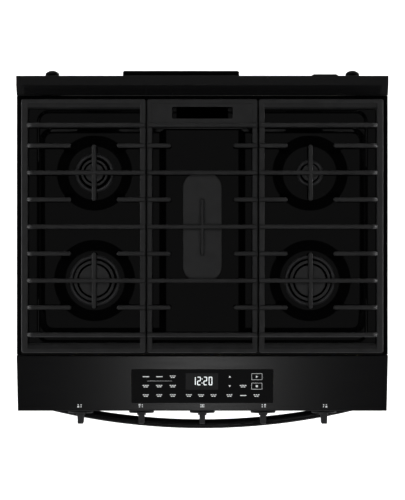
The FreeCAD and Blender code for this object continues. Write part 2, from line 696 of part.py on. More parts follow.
def drawer_box():
    """Drawer body, open at the top, with runner strips along both sides."""
    y0, z1 = DOOR_FRONT + 22, 196.0
    tray = box(-DRAWER_HALF, DRAWER_HALF, y0, DRAWER_BACK, DRAWER_FLOOR, z1)
    hollow = box(-DRAWER_HALF + SHEET, DRAWER_HALF - SHEET, y0 + SHEET, DRAWER_BACK - SHEET,
                 DRAWER_FLOOR + SHEET, z1 + 1)
    tray = tray.cut(hollow)
    runner = box(-DRAWER_HALF - 5, -DRAWER_HALF + 0.5, y0 + 14, DRAWER_BACK, 120, 128)
    return fuse([tray, runner, flipped(runner)])


def drawer_rails():
    """Two fixed rails that the drawer's runners slide in."""
    x0, x1 = -356.0, -DRAWER_HALF - 5.6
    y0, y1 = BODY_FRONT + 8, 200.0
    web = box(x0, x0 + 2, y0, y1, 58, 140)
    shelf = box(x0, -DRAWER_HALF - 1, y0, y1, 117, 119.6)
    cap = box(x0, x1 + 4, y0, y1, 128.6, 131)
    foot = box(x0, x1 - 2, y0, y1, 58, 60)
    rail = fuse([web, shelf, cap, foot])
    return group([rail, flipped(rail)])


# ---------------------------------------------------------------- cooktop
def burner_places():
    """Centre and pad radii (top, foot) of each round burner."""
    places = []
    for x in (-BURNER_X, BURNER_X):
        places.append((x, BURNER_REAR_Y, 56.0, 75.5))
        places.append((x, BURNER_FRONT_Y, 63.0, 82.0))
    return places


def cooktop_mass(drop):
    """Everything under the cooktop's upper face, lowered by drop."""
    low = RIM_Z - SKIRT - 12
    slab = box(-HALF, HALF, COOKTOP_FRONT, COOKTOP_BACK, low, RIM_Z)
    sides = edges_where(slab, lambda p: near(p.z, RIM_Z) and near(abs(p.x), HALF))
    slab = slab.makeFillet(7.0, sides)
    shallow = tapered((-333, 333, -184, 282, 19), (-336, 336, -187, 286, 22), LEDGE_Z, RIM_Z)
    floor = (-324.4, 324.4, -153, 241, 24)
    deep = tapered(floor, (-333, 333, -166, 251, 24), WELL_Z, LEDGE_Z + 0.001)
    pan = slab.cut(fuse([shallow, deep]))
    plateau = tapered((-89, 89, -182, 262, 6), (-75, 75, -172, 250, 6), WELL_Z - 1, PLATEAU_Z)
    raised = [plateau]
    for x, y, top, foot in burner_places():
        rise = PAD_Z - WELL_Z
        raised.append(Part.makeCone(foot + 3.9, top, rise + 1, V(x, y, WELL_Z - 1)))
    inside = box(-335, 335, -186, 285, low, RIM_Z)
    pan = pan.fuse([piece.common(inside) for piece in raised]).removeSplitter()
    pan.translate(V(0, 0, -drop))
    return pan


def cooktop():
    """Pressed enamelled top: rim, ledges, wells, raised middle and burner pads."""
    skin = cooktop_mass(0)
    under = cooktop_mass(COOKTOP_SHEET)
    wall = COOKTOP_SHEET
    room = box(-HALF + wall, HALF - wall, COOKTOP_FRONT + wall, COOKTOP_BACK - wall,
               RIM_Z - SKIRT - 20, RIM_Z)
    skin = skin.cut(under.common(room))
    trim = box(-HALF - 1, HALF + 1, COOKTOP_FRONT - 1, COOKTOP_BACK + 1, RIM_Z - 60, RIM_Z - SKIRT)
    holes = [trim, box(-52, 52, VENT_FRONT, VENT_BACK, WELL_Z - 20, RIM_Z + 5)]
    for name, (x, y, *_) in ROUND_BURNERS.items():
        radius = throat_radius(name) + 1.5
        holes.append(rod(radius, (x, y, WELL_Z - 10), (x, y, RIM_Z)))
    holes.append(box(-16, 16, OVAL_Y - 60, OVAL_Y + 60, WELL_Z - 10, RIM_Z))
    return cut(skin, holes)


def turned(points, x, y):
    """A solid of revolution about a vertical axis from (radius, z) points."""
    corners = [V(x + r, y, z) for r, z in points]
    return Part.Face(Part.makePolygon(corners + corners[:1])).revolve(V(x, y, 0), V(0, 0, 1), 360)


def throat_radius(name):
    return 16.5 if name == "right_rear" else 22.5


def burner_bases():
    """Cast bases that seal on the cooktop, each with its mixing throat below."""
    bases = []
    for name, (x, y, _, base, _) in ROUND_BURNERS.items():
        throat = throat_radius(name)
        foot, shelf, rim = PAD_Z, PAD_Z + BASE_STEP, PAD_Z + 6
        outline = [(5, foot - THROAT_DEEP), (throat, foot - THROAT_DEEP), (throat, foot),
                   (base, foot), (base, shelf), (base - 2.5, rim), (base - 6, rim),
                   (base - 8, shelf), (5, shelf)]
        bases.append(turned(outline, x, y))
    z = PLATEAU_Z
    half_w, half_l = OVAL_WIDTH / 2 - 5, OVAL_LENGTH / 2 - 5
    pad = rounded_block(-half_w, half_w, OVAL_Y - half_l, OVAL_Y + half_l, z, z + 4, 26)
    throat = box(-14, 14, OVAL_Y - 56, OVAL_Y + 56, z - THROAT_DEEP, z + 1)
    bores = [rod(6.0, (0, y, z - 30), (0, y, z + 20)) for y in (OVAL_Y - 40, OVAL_Y + 40)]
    bases.append(cut(fuse([pad, throat]), bores))
    return group(bases)


def igniter_spots():
    """X, Y and foot height of the spark electrodes, each in its head's wall under the cap."""
    spots = []
    for x, y, cap, _, _ in ROUND_BURNERS.values():
        offset = (cap - 5.0) * math.sqrt(0.5)
        spots.append((x + offset, y + offset, PAD_Z + BASE_STEP))
    spots.append((0, OVAL_Y - OVAL_LENGTH / 2 + 12, PLATEAU_Z + 4))
    return spots


def burner_heads():
    """Port rings that stand on the bases, notched for the flames and for the electrodes."""
    gap, deep = 0.9, 5.0
    heads = []
    for x, y, cap, _, _ in ROUND_BURNERS.values():
        low, high = PAD_Z + BASE_STEP, CAP_TOP - CAP_THICK
        outer = cap - 1.5
        ring = turned([(outer - HEAD_WALL, low), (outer, low), (outer + 1, high),
                       (outer - HEAD_WALL, high)], x, y)
        slots = []
        count = 4 * round(cap * 0.17)
        for index in range(count):
            slot = box(outer - 4, outer + 6, -gap, gap, high - deep, high + 1)
            slot.rotate(V(0, 0, 0), V(0, 0, 1), 360 * (index + 0.5) / count)
            slot.translate(V(x, y, 0))
            slots.append(slot)
        heads.append((ring, slots))
    low, high = PLATEAU_Z + 4, CAP_TOP - CAP_THICK + 1
    half_w, half_l = OVAL_WIDTH / 2 - 8, OVAL_LENGTH / 2 - 8
    oval = rounded_block(-half_w, half_w, OVAL_Y - half_l, OVAL_Y + half_l, low, high, 22)
    core_w, core_l = half_w - HEAD_WALL, half_l - HEAD_WALL
    core = rounded_block(-core_w, core_w, OVAL_Y - core_l, OVAL_Y + core_l, low - 1, high + 1, 13)
    slots = []
    for index in range(12):
        y = OVAL_Y - 66 + index * 12
        for side in (-1, 1):
            x = side * half_w
            slots.append(box(x - 4, x + 4, y - gap, y + gap, high - deep, high + 1))
    heads.append((oval.cut(core), slots))
    finished = []
    for (head, slots), (x, y, z) in zip(heads, igniter_spots()):
        well = rod(3.4, (x, y, z - 1), (x, y, CAP_TOP))
        finished.append(head.cut(Part.makeCompound(slots + [well])))
    return group(finished)


def burner_caps():
    """Enamelled caps; the round ones have a groove and a raised middle."""
    caps = []
    low, top = CAP_TOP - CAP_THICK, CAP_TOP
    for name, (x, y, cap, _, inner) in ROUND_BURNERS.items():
        if name == "right_rear":
            outline = [(0, low), (cap, low), (cap, top - 1.2), (cap - 1.2, top), (0, top)]
        else:
            outline = [(0, low), (cap, low), (cap, top - 1.8), (cap - 1.0, top - 0.8),
                       (inner + 3.4, top - 0.8), (inner + 2.4, top - 2.2), (inner + 1, top - 2.2),
                       (inner - 1.2, top), (0, top)]
        caps.append(turned(outline, x, y))
    half_w, half_l = OVAL_WIDTH / 2, OVAL_LENGTH / 2
    oval = rounded_block(-half_w, half_w, OVAL_Y - half_l, OVAL_Y + half_l,
                         low + 1, top, OVAL_CORNER)
    rim = edges_where(oval, lambda p: near(p.z, top))
    caps.append(oval.makeFillet(2.0, rim))
    return group(caps)


def igniters():
    """Ceramic spark electrodes, one under the rim of each cap."""
    pins = []
    for x, y, z in igniter_spots():
        sleeve = rod(2.6, (x, y, z), (x, y, z + 5))
        tip = rod(0.8, (x, y, z + 4), (x, y, z + 7.5))
        pins.append(fuse([sleeve, tip]))
    return group(pins)


# ---------------------------------------------------------------- grates
def bend(foot, top):
    """The arc of a bar's end from the side rail up to the level top, which it meets smoothly."""
    rise = top.z - foot.z
    radius = (BEND ** 2 + rise ** 2) / (2 * rise)
    half_turn = math.atan2(BEND, radius - rise) / 2
    side = math.copysign(1, foot.x - top.x)
    middle = V(top.x + side * radius * math.sin(half_turn), top.y,
               top.z - radius + radius * math.cos(half_turn))
    return Part.Arc(foot, middle, top).toShape()


def bar(x0, x1, y, left="square", right="square"):
    """A grate bar along X. Ends are square, round in plan, or dropped to the side rail."""
    low, top = BAR_LOW, GRATE_TOP
    rail = FRAME_TOP - 1.0
    outline = [Part.LineSegment(V(x0, y, low), V(x1, y, low)).toShape()]
    if right == "drop":
        foot, right_top = V(x1, y, rail), V(x1 - BEND, y, top)
        outline.append(Part.LineSegment(V(x1, y, low), foot).toShape())
        outline.append(bend(foot, right_top))
    else:
        right_top = V(x1, y, top)
        outline.append(Part.LineSegment(V(x1, y, low), right_top).toShape())
    if left == "drop":
        foot, left_top = V(x0, y, rail), V(x0 + BEND, y, top)
        outline.append(Part.LineSegment(right_top, left_top).toShape())
        outline.append(bend(foot, left_top))
        outline.append(Part.LineSegment(foot, V(x0, y, low)).toShape())
    else:
        left_top = V(x0, y, top)
        outline.append(Part.LineSegment(right_top, left_top).toShape())
        outline.append(Part.LineSegment(left_top, V(x0, y, low)).toShape())
    face = Part.Face(Part.Wire(Part.__sortEdges__(outline)))
    face.translate(V(0, -BAR_WIDTH / 2, 0))
    solid = face.extrude(V(0, BAR_WIDTH, 0))
    for end, x in ((left, x0), (right, x1)):
        if end == "round":
            uprights = [edge for edge in edges_where(solid, lambda p: near(p.x, x))
                        if is_upright(edge)]
            solid = solid.makeFillet(BAR_WIDTH / 2 - 0.3, uprights)
    return solid.makeFillet(2.6, crown_edges(solid, x0, x1))


def is_upright(edge):
    start, end = edge.Vertexes[0].Point, edge.Vertexes[-1].Point
    return abs(start.z - end.z) > 1 and near(start.x, end.x) and near(start.y, end.y)


def crown_edges(solid, x0, x1):
    """The edges round a bar's top. The creases across its bends stay as they are."""
    chosen = []
    for edge in solid.Edges:
        start, end = edge.Vertexes[0].Point, edge.Vertexes[-1].Point
        at_foot = max(start.z, end.z) < BAR_LOW + 0.5
        across = abs(start.y - end.y) > BAR_WIDTH - 0.5
        at_end = near(start.z, GRATE_TOP) and (near(start.x, x0) or near(start.x, x1))
        if at_foot or is_upright(edge) or (across and not at_end):
            continue
        chosen.append(edge)
    return chosen


def cross_bar(x, y0, y1, width=BAR_WIDTH):
    """A finger along Y, round at both ends."""
    half = width / 2
    solid = rounded_block(x - half, x + half, y0, y1, BAR_LOW, GRATE_TOP, half - 0.3)
    rim = edges_where(solid, lambda p: near(p.z, GRATE_TOP))
    return solid.makeFillet(min(2.6, half - 0.6), rim)


def frame_ring(x0, x1, left_width, right_width):
    """Perimeter frame with sloping lips along its front and back rails."""
    low = 919.0
    ring = rounded_block(x0, x1, GRATE_FRONT, GRATE_BACK, low, FRAME_TOP, 5.0)
    ring = ring.cut(box(x0 + left_width, x1 - right_width, GRATE_FRONT + 9, GRATE_BACK - 10,
                        low - 1, FRAME_TOP + 1))
    ring = ring.makeFillet(2.0, edges_where(ring, lambda p: near(p.z, FRAME_TOP)))
    back = [(GRATE_BACK - 6, FRAME_TOP - 2), (GRATE_BACK - 10, FRAME_TOP - 0.4),
            (GRATE_BACK - 17, FRAME_TOP - 3), (GRATE_BACK - 20, FRAME_TOP - 8),
            (GRATE_BACK - 20, low), (GRATE_BACK - 6, low)]
    front = [(GRATE_FRONT + 6, FRAME_TOP - 2), (GRATE_FRONT + 9, FRAME_TOP - 0.4),
             (GRATE_FRONT + 16, FRAME_TOP - 5), (GRATE_FRONT + 20, FRAME_TOP - 11),
             (GRATE_FRONT + 20, low), (GRATE_FRONT + 6, low)]
    lips = [extruded_yz(points, x0 + left_width - 1, x1 - right_width + 1)
            for points in (back, front)]
    return [ring] + lips


def feet(xs):
    """Short feet under the frame's corners that stand on the cooktop's rim."""
    blocks = []
    for x in xs:
        for y in (GRATE_FRONT + 8, GRATE_BACK - 9):
            blocks.append(rod(5.5, (x, y, RIM_Z), (x, y, 921)))
    return blocks


def grate_left():
    x0, x1 = -GRATE_EDGE, -SEAM_SIDE
    outer_rail, inner_rail = 13.8, 11.6
    pieces = frame_ring(x0, x1, outer_rail, inner_rail) + feet([x0 + 7, x1 - 5.9])
    end = x0 + outer_rail - 3
    for number, y in enumerate(ROWS, 1):
        if number in (2, 4, 6, 8):
            pieces.append(bar(end, -BURNER_X - FINGER_GAP, y, "drop", "round"))
            pieces.append(bar(-BURNER_X + FINGER_GAP, x1, y, "round", "square"))
        else:
            pieces.append(bar(end, x1, y, "drop", "square"))
    for y in (BURNER_REAR_Y, BURNER_FRONT_Y):
        pieces.append(cross_bar(-BURNER_X, y - CROSS_REACH, y + CROSS_REACH))
    return fuse(pieces)


def grate_right():
    return flipped(grate_left())


def grate_center():
    half = SEAM_MIDDLE
    rail = 10.8
    pieces = frame_ring(-half, half, rail, rail) + feet([-half + 5.5, half - 5.5])
    for number, y in enumerate(ROWS, 1):
        if number in (2, 4, 6, 8):
            finger = bar(-half, -FINGER_INNER, y, "square", "round")
            pieces += [finger, flipped(finger)]
        else:
            pieces.append(bar(-half, half, y))
    pieces.append(cross_bar(0, OVAL_Y - CROSS_REACH, OVAL_Y + CROSS_REACH, 7.0))
    plate = box(-half + rail - 1, half - rail + 1, ROWS[0] - 2, GRATE_BACK - 9, 925, FRAME_TOP - 0.5)
    slot = rounded_block(-62, 62, VENT_FRONT, VENT_BACK, 915, FRAME_TOP + 1, 3)
    return fuse(pieces + [plate]).cut(slot)


# ---------------------------------------------------------------- controls
def panel_profile(inset):
    """The (y, z) outline of the control housing, moved in by the sheet's thickness."""
    low = PANEL_LOW_Z
    drop = inset / math.cos(SLOPE)
    front = PANEL_FRONT + inset
    back = PANEL_BACK - inset
    edge = PANEL_EDGE_Z + inset * math.tan(SLOPE) - drop
    rear = PANEL_BACK_Z - inset * math.tan(SLOPE) - drop
    floor_back = PANEL_FRONT + 30
    if inset:
        return [(front, low + inset), (front, edge), (back, rear), (back, low - 5),
                (floor_back + 1, low - 5), (floor_back + 1, low + inset)]
    return [(front, low), (front, edge), (back, rear), (back, RIM_Z - SKIRT),
            (floor_back + 20, NOTCH_LOW), (floor_back, low + 3), (floor_back, low)]


def control_panel():
    """Folded housing: sloping top, upright knob face and a short return underneath."""
    skin = extruded_yz(panel_profile(0), -HALF, HALF)
    skin = skin.makeFillet(3.0, long_edges(skin, lambda p: near(p.y, PANEL_FRONT)))
    skin = skin.makeFillet(2.0, long_edges(skin, lambda p: near(p.z, PANEL_BACK_Z)))
    hollow = extruded_yz(panel_profile(PANEL_SHEET), -HALF + PANEL_SHEET, HALF - PANEL_SHEET)
    x0, x1, y1 = -HALF - 1, HALF + 1, PANEL_BACK + 1
    ends = fuse([box(x0, x1, BODY_FRONT + 2, y1, PANEL_LOW_Z - 1, NOTCH_LOW),
                 box(x0, x1, NOTCH_BACK, y1, NOTCH_LOW - 1, BODY_HIGH)])
    holes = [rod(7.0, (x, PANEL_FRONT - 1, KNOB_Z), (x, PANEL_FRONT + 5, KNOB_Z)) for x in KNOB_X]
    glass = on_slope(rounded_block(-GLASS_WIDTH / 2 - 0.4, GLASS_WIDTH / 2 + 0.4,
                                   -GLASS_LENGTH / 2 - 0.4, GLASS_LENGTH / 2 + 0.4,
                                   -PANEL_SHEET - 3, 3, 2.4))
    return cut(skin, [hollow, glass, ends] + holes)


def control_glass():
    """Glass touch panel with its display, let into the slope."""
    pane = rounded_block(-GLASS_WIDTH / 2, GLASS_WIDTH / 2, -GLASS_LENGTH / 2, GLASS_LENGTH / 2,
                         -GLASS_THICK, 0.4, 2.0)
    pane = pane.makeChamfer(0.5, edges_where(pane, lambda p: near(p.z, 0.4)))
    return on_slope(pane)


def knob(x):
    """Knob: a thin skirt that flares into an upright grip bar, bored for its stem."""
    face = KNOB_BACK - SKIRT_THICK
    skirt = rod(SKIRT_R, (x, KNOB_BACK, KNOB_Z), (x, face, KNOB_Z))
    skirt = skirt.makeFillet(1.2, edges_where(skirt, lambda p: near(p.y, face)))
    grip_high = 2 * SKIRT_R - 6
    half, flare, draft = GRIP_WIDTH / 2, 4.6, 0.5
    waist, root = face - flare, face + 0.4
    bulge_x, bulge_y = flare * 0.29, face - flare * 0.29 - 0.2
    edges = []
    for side in (-1, 1):
        outer = V(x + side * (half + flare), root, 0)
        neck = V(x + side * half, waist, 0)
        edges.append(Part.Arc(outer, V(x + side * (half + bulge_x), bulge_y, 0), neck).toShape())
        edges.append(Part.LineSegment(neck, V(x + side * (half - draft), KNOB_TIP, 0)).toShape())
    edges.append(Part.LineSegment(V(x - half + draft, KNOB_TIP, 0),
                                  V(x + half - draft, KNOB_TIP, 0)).toShape())
    edges.append(Part.LineSegment(V(x - half - flare, root, 0), V(x + half + flare, root, 0)).toShape())
    grip = Part.Face(Part.Wire(Part.__sortEdges__(edges))).extrude(V(0, 0, grip_high))
    grip.translate(V(0, 0, KNOB_Z - grip_high / 2))
    grip = grip.makeFillet(1.6, edges_where(grip, lambda p: near(p.y, KNOB_TIP)))
    within = rod(SKIRT_R - 1.6, (x, KNOB_BACK, KNOB_Z), (x, KNOB_TIP - 5, KNOB_Z))
    hub = rod(9.0, (x, KNOB_BACK, KNOB_Z), (x, KNOB_BACK - 8, KNOB_Z))
    bore = rod(STEM_R + STEM_FIT, (x, KNOB_BACK + 1, KNOB_Z), (x, KNOB_TIP + 5, KNOB_Z))
    return fuse([skirt, grip.common(within), hub]).cut(bore)


def valve_stem(x):
    """Round valve stem that reaches through the knob face."""
    return rod(STEM_R, (x, MANIFOLD_Y - 20, KNOB_Z), (x, KNOB_TIP + 8.5, KNOB_Z))


def manifold_pipe():
    """Gas rail across the range behind the knob face, with the feed from the regulator."""
    front_corner = (MANIFOLD_END, MANIFOLD_Y, KNOB_Z)
    rear_corner = (MANIFOLD_END, REGULATOR_Y, KNOB_Z)
    runs = [rod(MANIFOLD_R, (-290, MANIFOLD_Y, KNOB_Z), front_corner),
            rod(MANIFOLD_R, front_corner, rear_corner),
            rod(MANIFOLD_R, rear_corner, (MANIFOLD_END, REGULATOR_Y, REGULATOR_Z + 18))]
    elbows = [Part.makeSphere(MANIFOLD_R, V(*corner)) for corner in (front_corner, rear_corner)]
    return fuse(runs + elbows)


def valve_bodies():
    """Five brass valves clamped to the gas rail, bored for their stems."""
    bodies = []
    for x in KNOB_X:
        block = box(x - 12, x + 12, MANIFOLD_Y - 34, MANIFOLD_Y + 14, KNOB_Z - 14, KNOB_Z + 14)
        nose = rod(9.5, (x, MANIFOLD_Y - 44, KNOB_Z), (x, MANIFOLD_Y - 30, KNOB_Z))
        rail = rod(MANIFOLD_R, (x - 20, MANIFOLD_Y, KNOB_Z), (x + 20, MANIFOLD_Y, KNOB_Z))
        bore = rod(STEM_R + STEM_FIT, (x, MANIFOLD_Y - 50, KNOB_Z), (x, MANIFOLD_Y - 19.5, KNOB_Z))
        bodies.append(cut(fuse([block, nose]), [rail, bore]))
    return group(bodies)


def supply_tubes():
    """Aluminium tubes from each valve to the underside of its burner."""
    radius = 4.0
    z = 866.0
    targets = [(-BURNER_X, BURNER_FRONT_Y, PAD_Z), (-BURNER_X, BURNER_REAR_Y, PAD_Z),
               (0, OVAL_Y, PLATEAU_Z), (BURNER_X, BURNER_REAR_Y, PAD_Z),
               (BURNER_X, BURNER_FRONT_Y, PAD_Z)]
    shift = [0, -50, 20, 50, 0]
    tubes = []
    for x, (bx, by, bz), sideways in zip(KNOB_X, targets, shift):
        y = MANIFOLD_Y + 6
        lane = bx + sideways
        route = [(x, y, KNOB_Z + 14), (x, y, z), (lane, y, z), (lane, by, z)]
        if sideways:
            route.append((bx, by, z))
        route.append((bx, by, bz - THROAT_DEEP))
        route = [p for i, p in enumerate(route) if i == 0 or p != route[i - 1]]
        pieces = [rod(radius, start, end) for start, end in zip(route, route[1:])]
        pieces += [Part.makeSphere(radius, V(*p)) for p in route[1:-1]]
        tubes.append(fuse(pieces))
    return group(tubes)


def pressure_regulator():
    """Gas regulator at the lower back, with its threaded inlet facing the wall."""
    x, y, z = MANIFOLD_END, REGULATOR_Y, REGULATOR_Z
    can = rod(24.0, (x - 34, y, z), (x - 10.5, y, z))
    body = box(x - 14, x + 13, y - 14, y + 14, z - 14, z + 18)
    nose = rod(13.5, (x, y + 10, z), (x, y + 34, z))
    bore = rod(GAS_INLET_R, (x, y + 34 - GAS_INLET_DEEP, z), (x, y + 36, z))
    return fuse([can, body, nose]).cut(bore)


def screws():
    """Pan-head screws on the back: rear cover, trim and back panel."""
    head_r, head_t = 4.0, 2.2
    spots = []
    for z in (240, 530, 820):
        for x in (-170.5, 82.5):
            spots.append((x, BODY_BACK, z))
    for x in (-350, 350):
        for z in (200, 420, 640, 860):
            spots.append((x, BODY_BACK, z))
    heads = []
    for x, y, z in spots:
        head = rod(head_r, (x, y, z), (x, y + head_t, z))
        rim = edges_where(head, lambda p: near(p.y, y + head_t))
        heads.append(head.makeFillet(0.8, rim))
    return group(heads)


# ---------------------------------------------------------------- all nodes
def all_nodes():
    left_side = side_panel()
    nodes = {
        "side_panel_left": left_side,
        "side_panel_right": flipped(left_side),
        "back_panel": back_panel(),
        "rear_cover": rear_cover(),
        "rear_bumpers": rear_bumpers(),
        "rear_trim": rear_trim(),
        "base_frame": base_frame(),
        "front_frame": front_frame(),
        "oven_liner": oven_liner(),
        "oven_insulation": oven_insulation(),
        "oven_floor": oven_floor(),
        "bake_burner": bake_burner(),
        "broil_burner": broil_burner(),
        "convection_cover": convection_cover(),
        "convection_fan": convection_fan(),
        "fan_motor": fan_motor(),
        "oven_lamp": oven_lamp(),
        "oven_probe": oven_probe(),
        "flue_duct": flue_duct(),
        "cooktop": cooktop(),
        "burner_bases": burner_bases(),
        "burner_heads": burner_heads(),
        "burner_caps": burner_caps(),
        "igniters": igniters(),
        "grate_left": grate_left(),
        "grate_center": grate_center(),
        "grate_right": grate_right(),
        "manifold_pipe": manifold_pipe(),
        "valve_bodies": valve_bodies(),
        "supply_tubes": supply_tubes(),
        "pressure_regulator": pressure_regulator(),
        "control_panel": control_panel(),
        "control_glass": control_glass(),
        "door_glass": door_glass(),
        "door_shell": door_shell(),
        "door_liner": door_liner(),
        "door_inner_glass": door_inner_glass(),
        "door_gasket": door_gasket(),
        "door_handle": door_handle(),
        "hinge_arms": hinge_arms(),
        "drawer_front": drawer_front(),
        "drawer_box": drawer_box(),
        "drawer_rails": drawer_rails(),
        "screws": screws(),
    }
    for name, level in RACK_LEVELS.items():
        nodes[name] = oven_rack(level)
    for number, x in enumerate(KNOB_X, 1):
        nodes[f"valve_stem_{number}"] = valve_stem(x)
        nodes[f"knob_{number}"] = knob(x)
    spots = [(x, y) for y in LEG_Y for x in (-LEG_X, LEG_X)]
    for number, (x, y) in enumerate(spots, 1):
        nodes[f"leveling_leg_{number}"] = leveling_leg(x, y)
    return nodes


os.makedirs("parts", exist_ok=True)
for node, solid in all_nodes().items():
    solid.exportStep(f"parts/{node}.step")
    box_size = solid.BoundBox
    print(node, solid.isValid(), len(solid.Solids), round(solid.Volume / 1000, 1),
          [round(v, 1) for v in (box_size.XMin, box_size.XMax, box_size.YMin, box_size.YMax,
                                 box_size.ZMin, box_size.ZMax)])
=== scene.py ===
"""Looks of the gas range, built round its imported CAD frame. Lengths are in metres."""
import bpy
import json
import math
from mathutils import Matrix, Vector


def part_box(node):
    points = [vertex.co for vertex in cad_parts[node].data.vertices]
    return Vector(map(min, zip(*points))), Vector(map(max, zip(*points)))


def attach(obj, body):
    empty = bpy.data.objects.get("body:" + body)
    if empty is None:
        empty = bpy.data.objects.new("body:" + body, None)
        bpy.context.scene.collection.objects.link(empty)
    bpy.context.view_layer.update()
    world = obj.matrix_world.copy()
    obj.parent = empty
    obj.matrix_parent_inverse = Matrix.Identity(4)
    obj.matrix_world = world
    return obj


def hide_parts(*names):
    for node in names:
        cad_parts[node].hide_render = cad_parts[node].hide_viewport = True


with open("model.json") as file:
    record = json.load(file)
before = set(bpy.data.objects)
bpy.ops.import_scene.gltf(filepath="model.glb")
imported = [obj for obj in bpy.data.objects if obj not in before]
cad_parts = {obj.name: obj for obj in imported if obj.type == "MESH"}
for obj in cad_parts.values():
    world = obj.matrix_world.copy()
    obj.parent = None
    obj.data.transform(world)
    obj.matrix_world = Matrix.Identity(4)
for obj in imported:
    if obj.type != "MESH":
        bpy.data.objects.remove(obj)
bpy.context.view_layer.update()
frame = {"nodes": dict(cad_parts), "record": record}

# ------------------------------------------------------------------ sizes, in metres
MM = 0.001
rim_low, rim_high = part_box("cooktop")
RIM_Z = rim_high.z
HALF = rim_high.x
PAN_FRONT, PAN_BACK = rim_low.y, rim_high.y
SKIRT_Z = rim_low.z
LEDGE_Z = RIM_Z - 5 * MM
WELL_Z = RIM_Z - 14 * MM
PLATEAU_Z = RIM_Z - 7 * MM
PAD_Z = RIM_Z - 9 * MM
PAN_SHEET = 2 * MM

BURNER_X = 220.2 * MM
REAR_Y = 159.7 * MM
FRONT_Y = -60.2 * MM

PANEL_BACK = Vector((0, -213.0 * MM, 914.0 * MM))
PANEL_FRONT = Vector((0, -328.7 * MM, 878.0 * MM))
PANEL_DOWN = (PANEL_FRONT - PANEL_BACK).normalized()
PANEL_OUT = Vector((0, PANEL_DOWN.z, -PANEL_DOWN.y))
GLASS_PROUD = 0.4 * MM
KNOB_PITCH = 126.1 * MM


# ------------------------------------------------------------------ node helpers
class Surface:
    """A Principled material with a few shortcuts for procedural detail."""

    def __init__(self, name, colour, rough, metal=0.0, **constants):
        self.material = bpy.data.materials.new(name)
        self.material.use_nodes = True
        self.tree = self.material.node_tree
        self.bsdf = self.tree.nodes["Principled BSDF"]
        self.colour = colour
        self.rough = rough
        self.bump = None
        self.bsdf.inputs["Base Color"].default_value = (*colour, 1)
        self.bsdf.inputs["Roughness"].default_value = rough
        self.bsdf.inputs["Metallic"].default_value = metal
        for socket, value in constants.items():
            self.bsdf.inputs[socket.replace("_", " ")].default_value = value
        self.place = self.node("ShaderNodeTexCoord").outputs["Object"]

    def node(self, kind, inputs=None, **settings):
        made = self.tree.nodes.new(kind)
        for key, value in settings.items():
            setattr(made, key, value)
        for key, value in (inputs or {}).items():
            if hasattr(value, "is_output"):
                self.tree.links.new(value, made.inputs[key])
            else:
                made.inputs[key].default_value = value
        return made

    def stretched(self, x, y, z):
        made = self.node("ShaderNodeVectorMath", {0: self.place, 1: (x, y, z)}, operation="MULTIPLY")
        return made.outputs[0]

    def noise(self, scale, detail=4.0, rough=0.55, place=None):
        inputs = {"Vector": place or self.place, "Scale": scale, "Detail": detail, "Roughness": rough}
        return self.node("ShaderNodeTexNoise", inputs).outputs["Fac"]

    def cells(self, scale, feature="F1", place=None, output="Distance"):
        inputs = {"Vector": place or self.place, "Scale": scale}
        return self.node("ShaderNodeTexVoronoi", inputs, feature=feature).outputs[output]

    def ramp(self, value, low, high, to_low=0.0, to_high=1.0):
        inputs = {"Value": value, "From Min": low, "From Max": high, "To Min": to_low, "To Max": to_high}
        return self.node("ShaderNodeMapRange", inputs).outputs["Result"]

    def math(self, operation, a, b):
        return self.node("ShaderNodeMath", {0: a, 1: b}, operation=operation).outputs[0]

    def mix(self, factor, a, b):
        def as_colour(value):
            return (*value, 1) if isinstance(value, tuple) and len(value) == 3 else value
        made = self.node("ShaderNodeMix", {0: factor, 6: as_colour(a), 7: as_colour(b)}, data_type="RGBA")
        return made.outputs[2]

    def set(self, socket, value):
        self.tree.links.new(value, self.bsdf.inputs[socket])

    def colour_varied(self, factor, amount):
        """Lets the colour drift darker and lighter by amount where factor runs from 0 to 1."""
        dark = tuple(c * (1 - amount) for c in self.colour)
        light = tuple(c * (1 + amount) for c in self.colour)
        self.set("Base Color", self.mix(factor, dark, light))

    def rough_varied(self, factor, spread):
        low, high = max(self.rough - spread, 0.01), min(self.rough + spread, 1.0)
        self.set("Roughness", self.ramp(factor, 0.25, 0.75, low, high))

    def add_bump(self, height, depth, strength=1.0):
        """Adds a bump of that depth in metres on top of any earlier one."""
        inputs = {"Height": height, "Distance": depth, "Strength": strength}
        if self.bump:
            inputs["Normal"] = self.bump
        self.bump = self.node("ShaderNodeBump", inputs).outputs["Normal"]
        self.set("Normal", self.bump)


# ------------------------------------------------------------------ materials
def cast_iron():
    """Matt black enamel over sand-cast iron: fine pebbling, a few pits, dusty highs."""
    s = Surface("cast_iron", (0.0230, 0.0230, 0.0235), 0.50)
    grain = s.noise(700, 3.0, 0.6)
    broad = s.noise(45, 3.0)
    pits = s.ramp(s.cells(520), 0.0, 0.22)
    s.colour_varied(s.ramp(broad, 0.3, 0.7), 0.16)
    s.rough_varied(grain, 0.10)
    s.add_bump(grain, 0.00016, 0.55)
    s.add_bump(pits, 0.00010, 0.35)
    return s.material


def gloss_enamel():
    """Porcelain enamel: deep gloss with a faint orange peel and a little haze."""
    s = Surface("gloss_enamel", (0.0009, 0.0009, 0.0010), 0.07)
    s.rough_varied(s.noise(18, 5.0), 0.03)
    s.colour_varied(s.ramp(s.noise(160, 2.0), 0.35, 0.65), 0.20)
    s.add_bump(s.noise(95, 2.0), 0.00003, 0.5)
    return s.material


def cap_enamel():
    s = Surface("cap_enamel", (0.0240, 0.0240, 0.0245), 0.42)
    s.colour_varied(s.ramp(s.noise(60, 4.0), 0.3, 0.7), 0.14)
    s.rough_varied(s.noise(220, 3.0), 0.08)
    s.add_bump(s.noise(900, 3.0), 0.00006, 0.5)
    return s.material


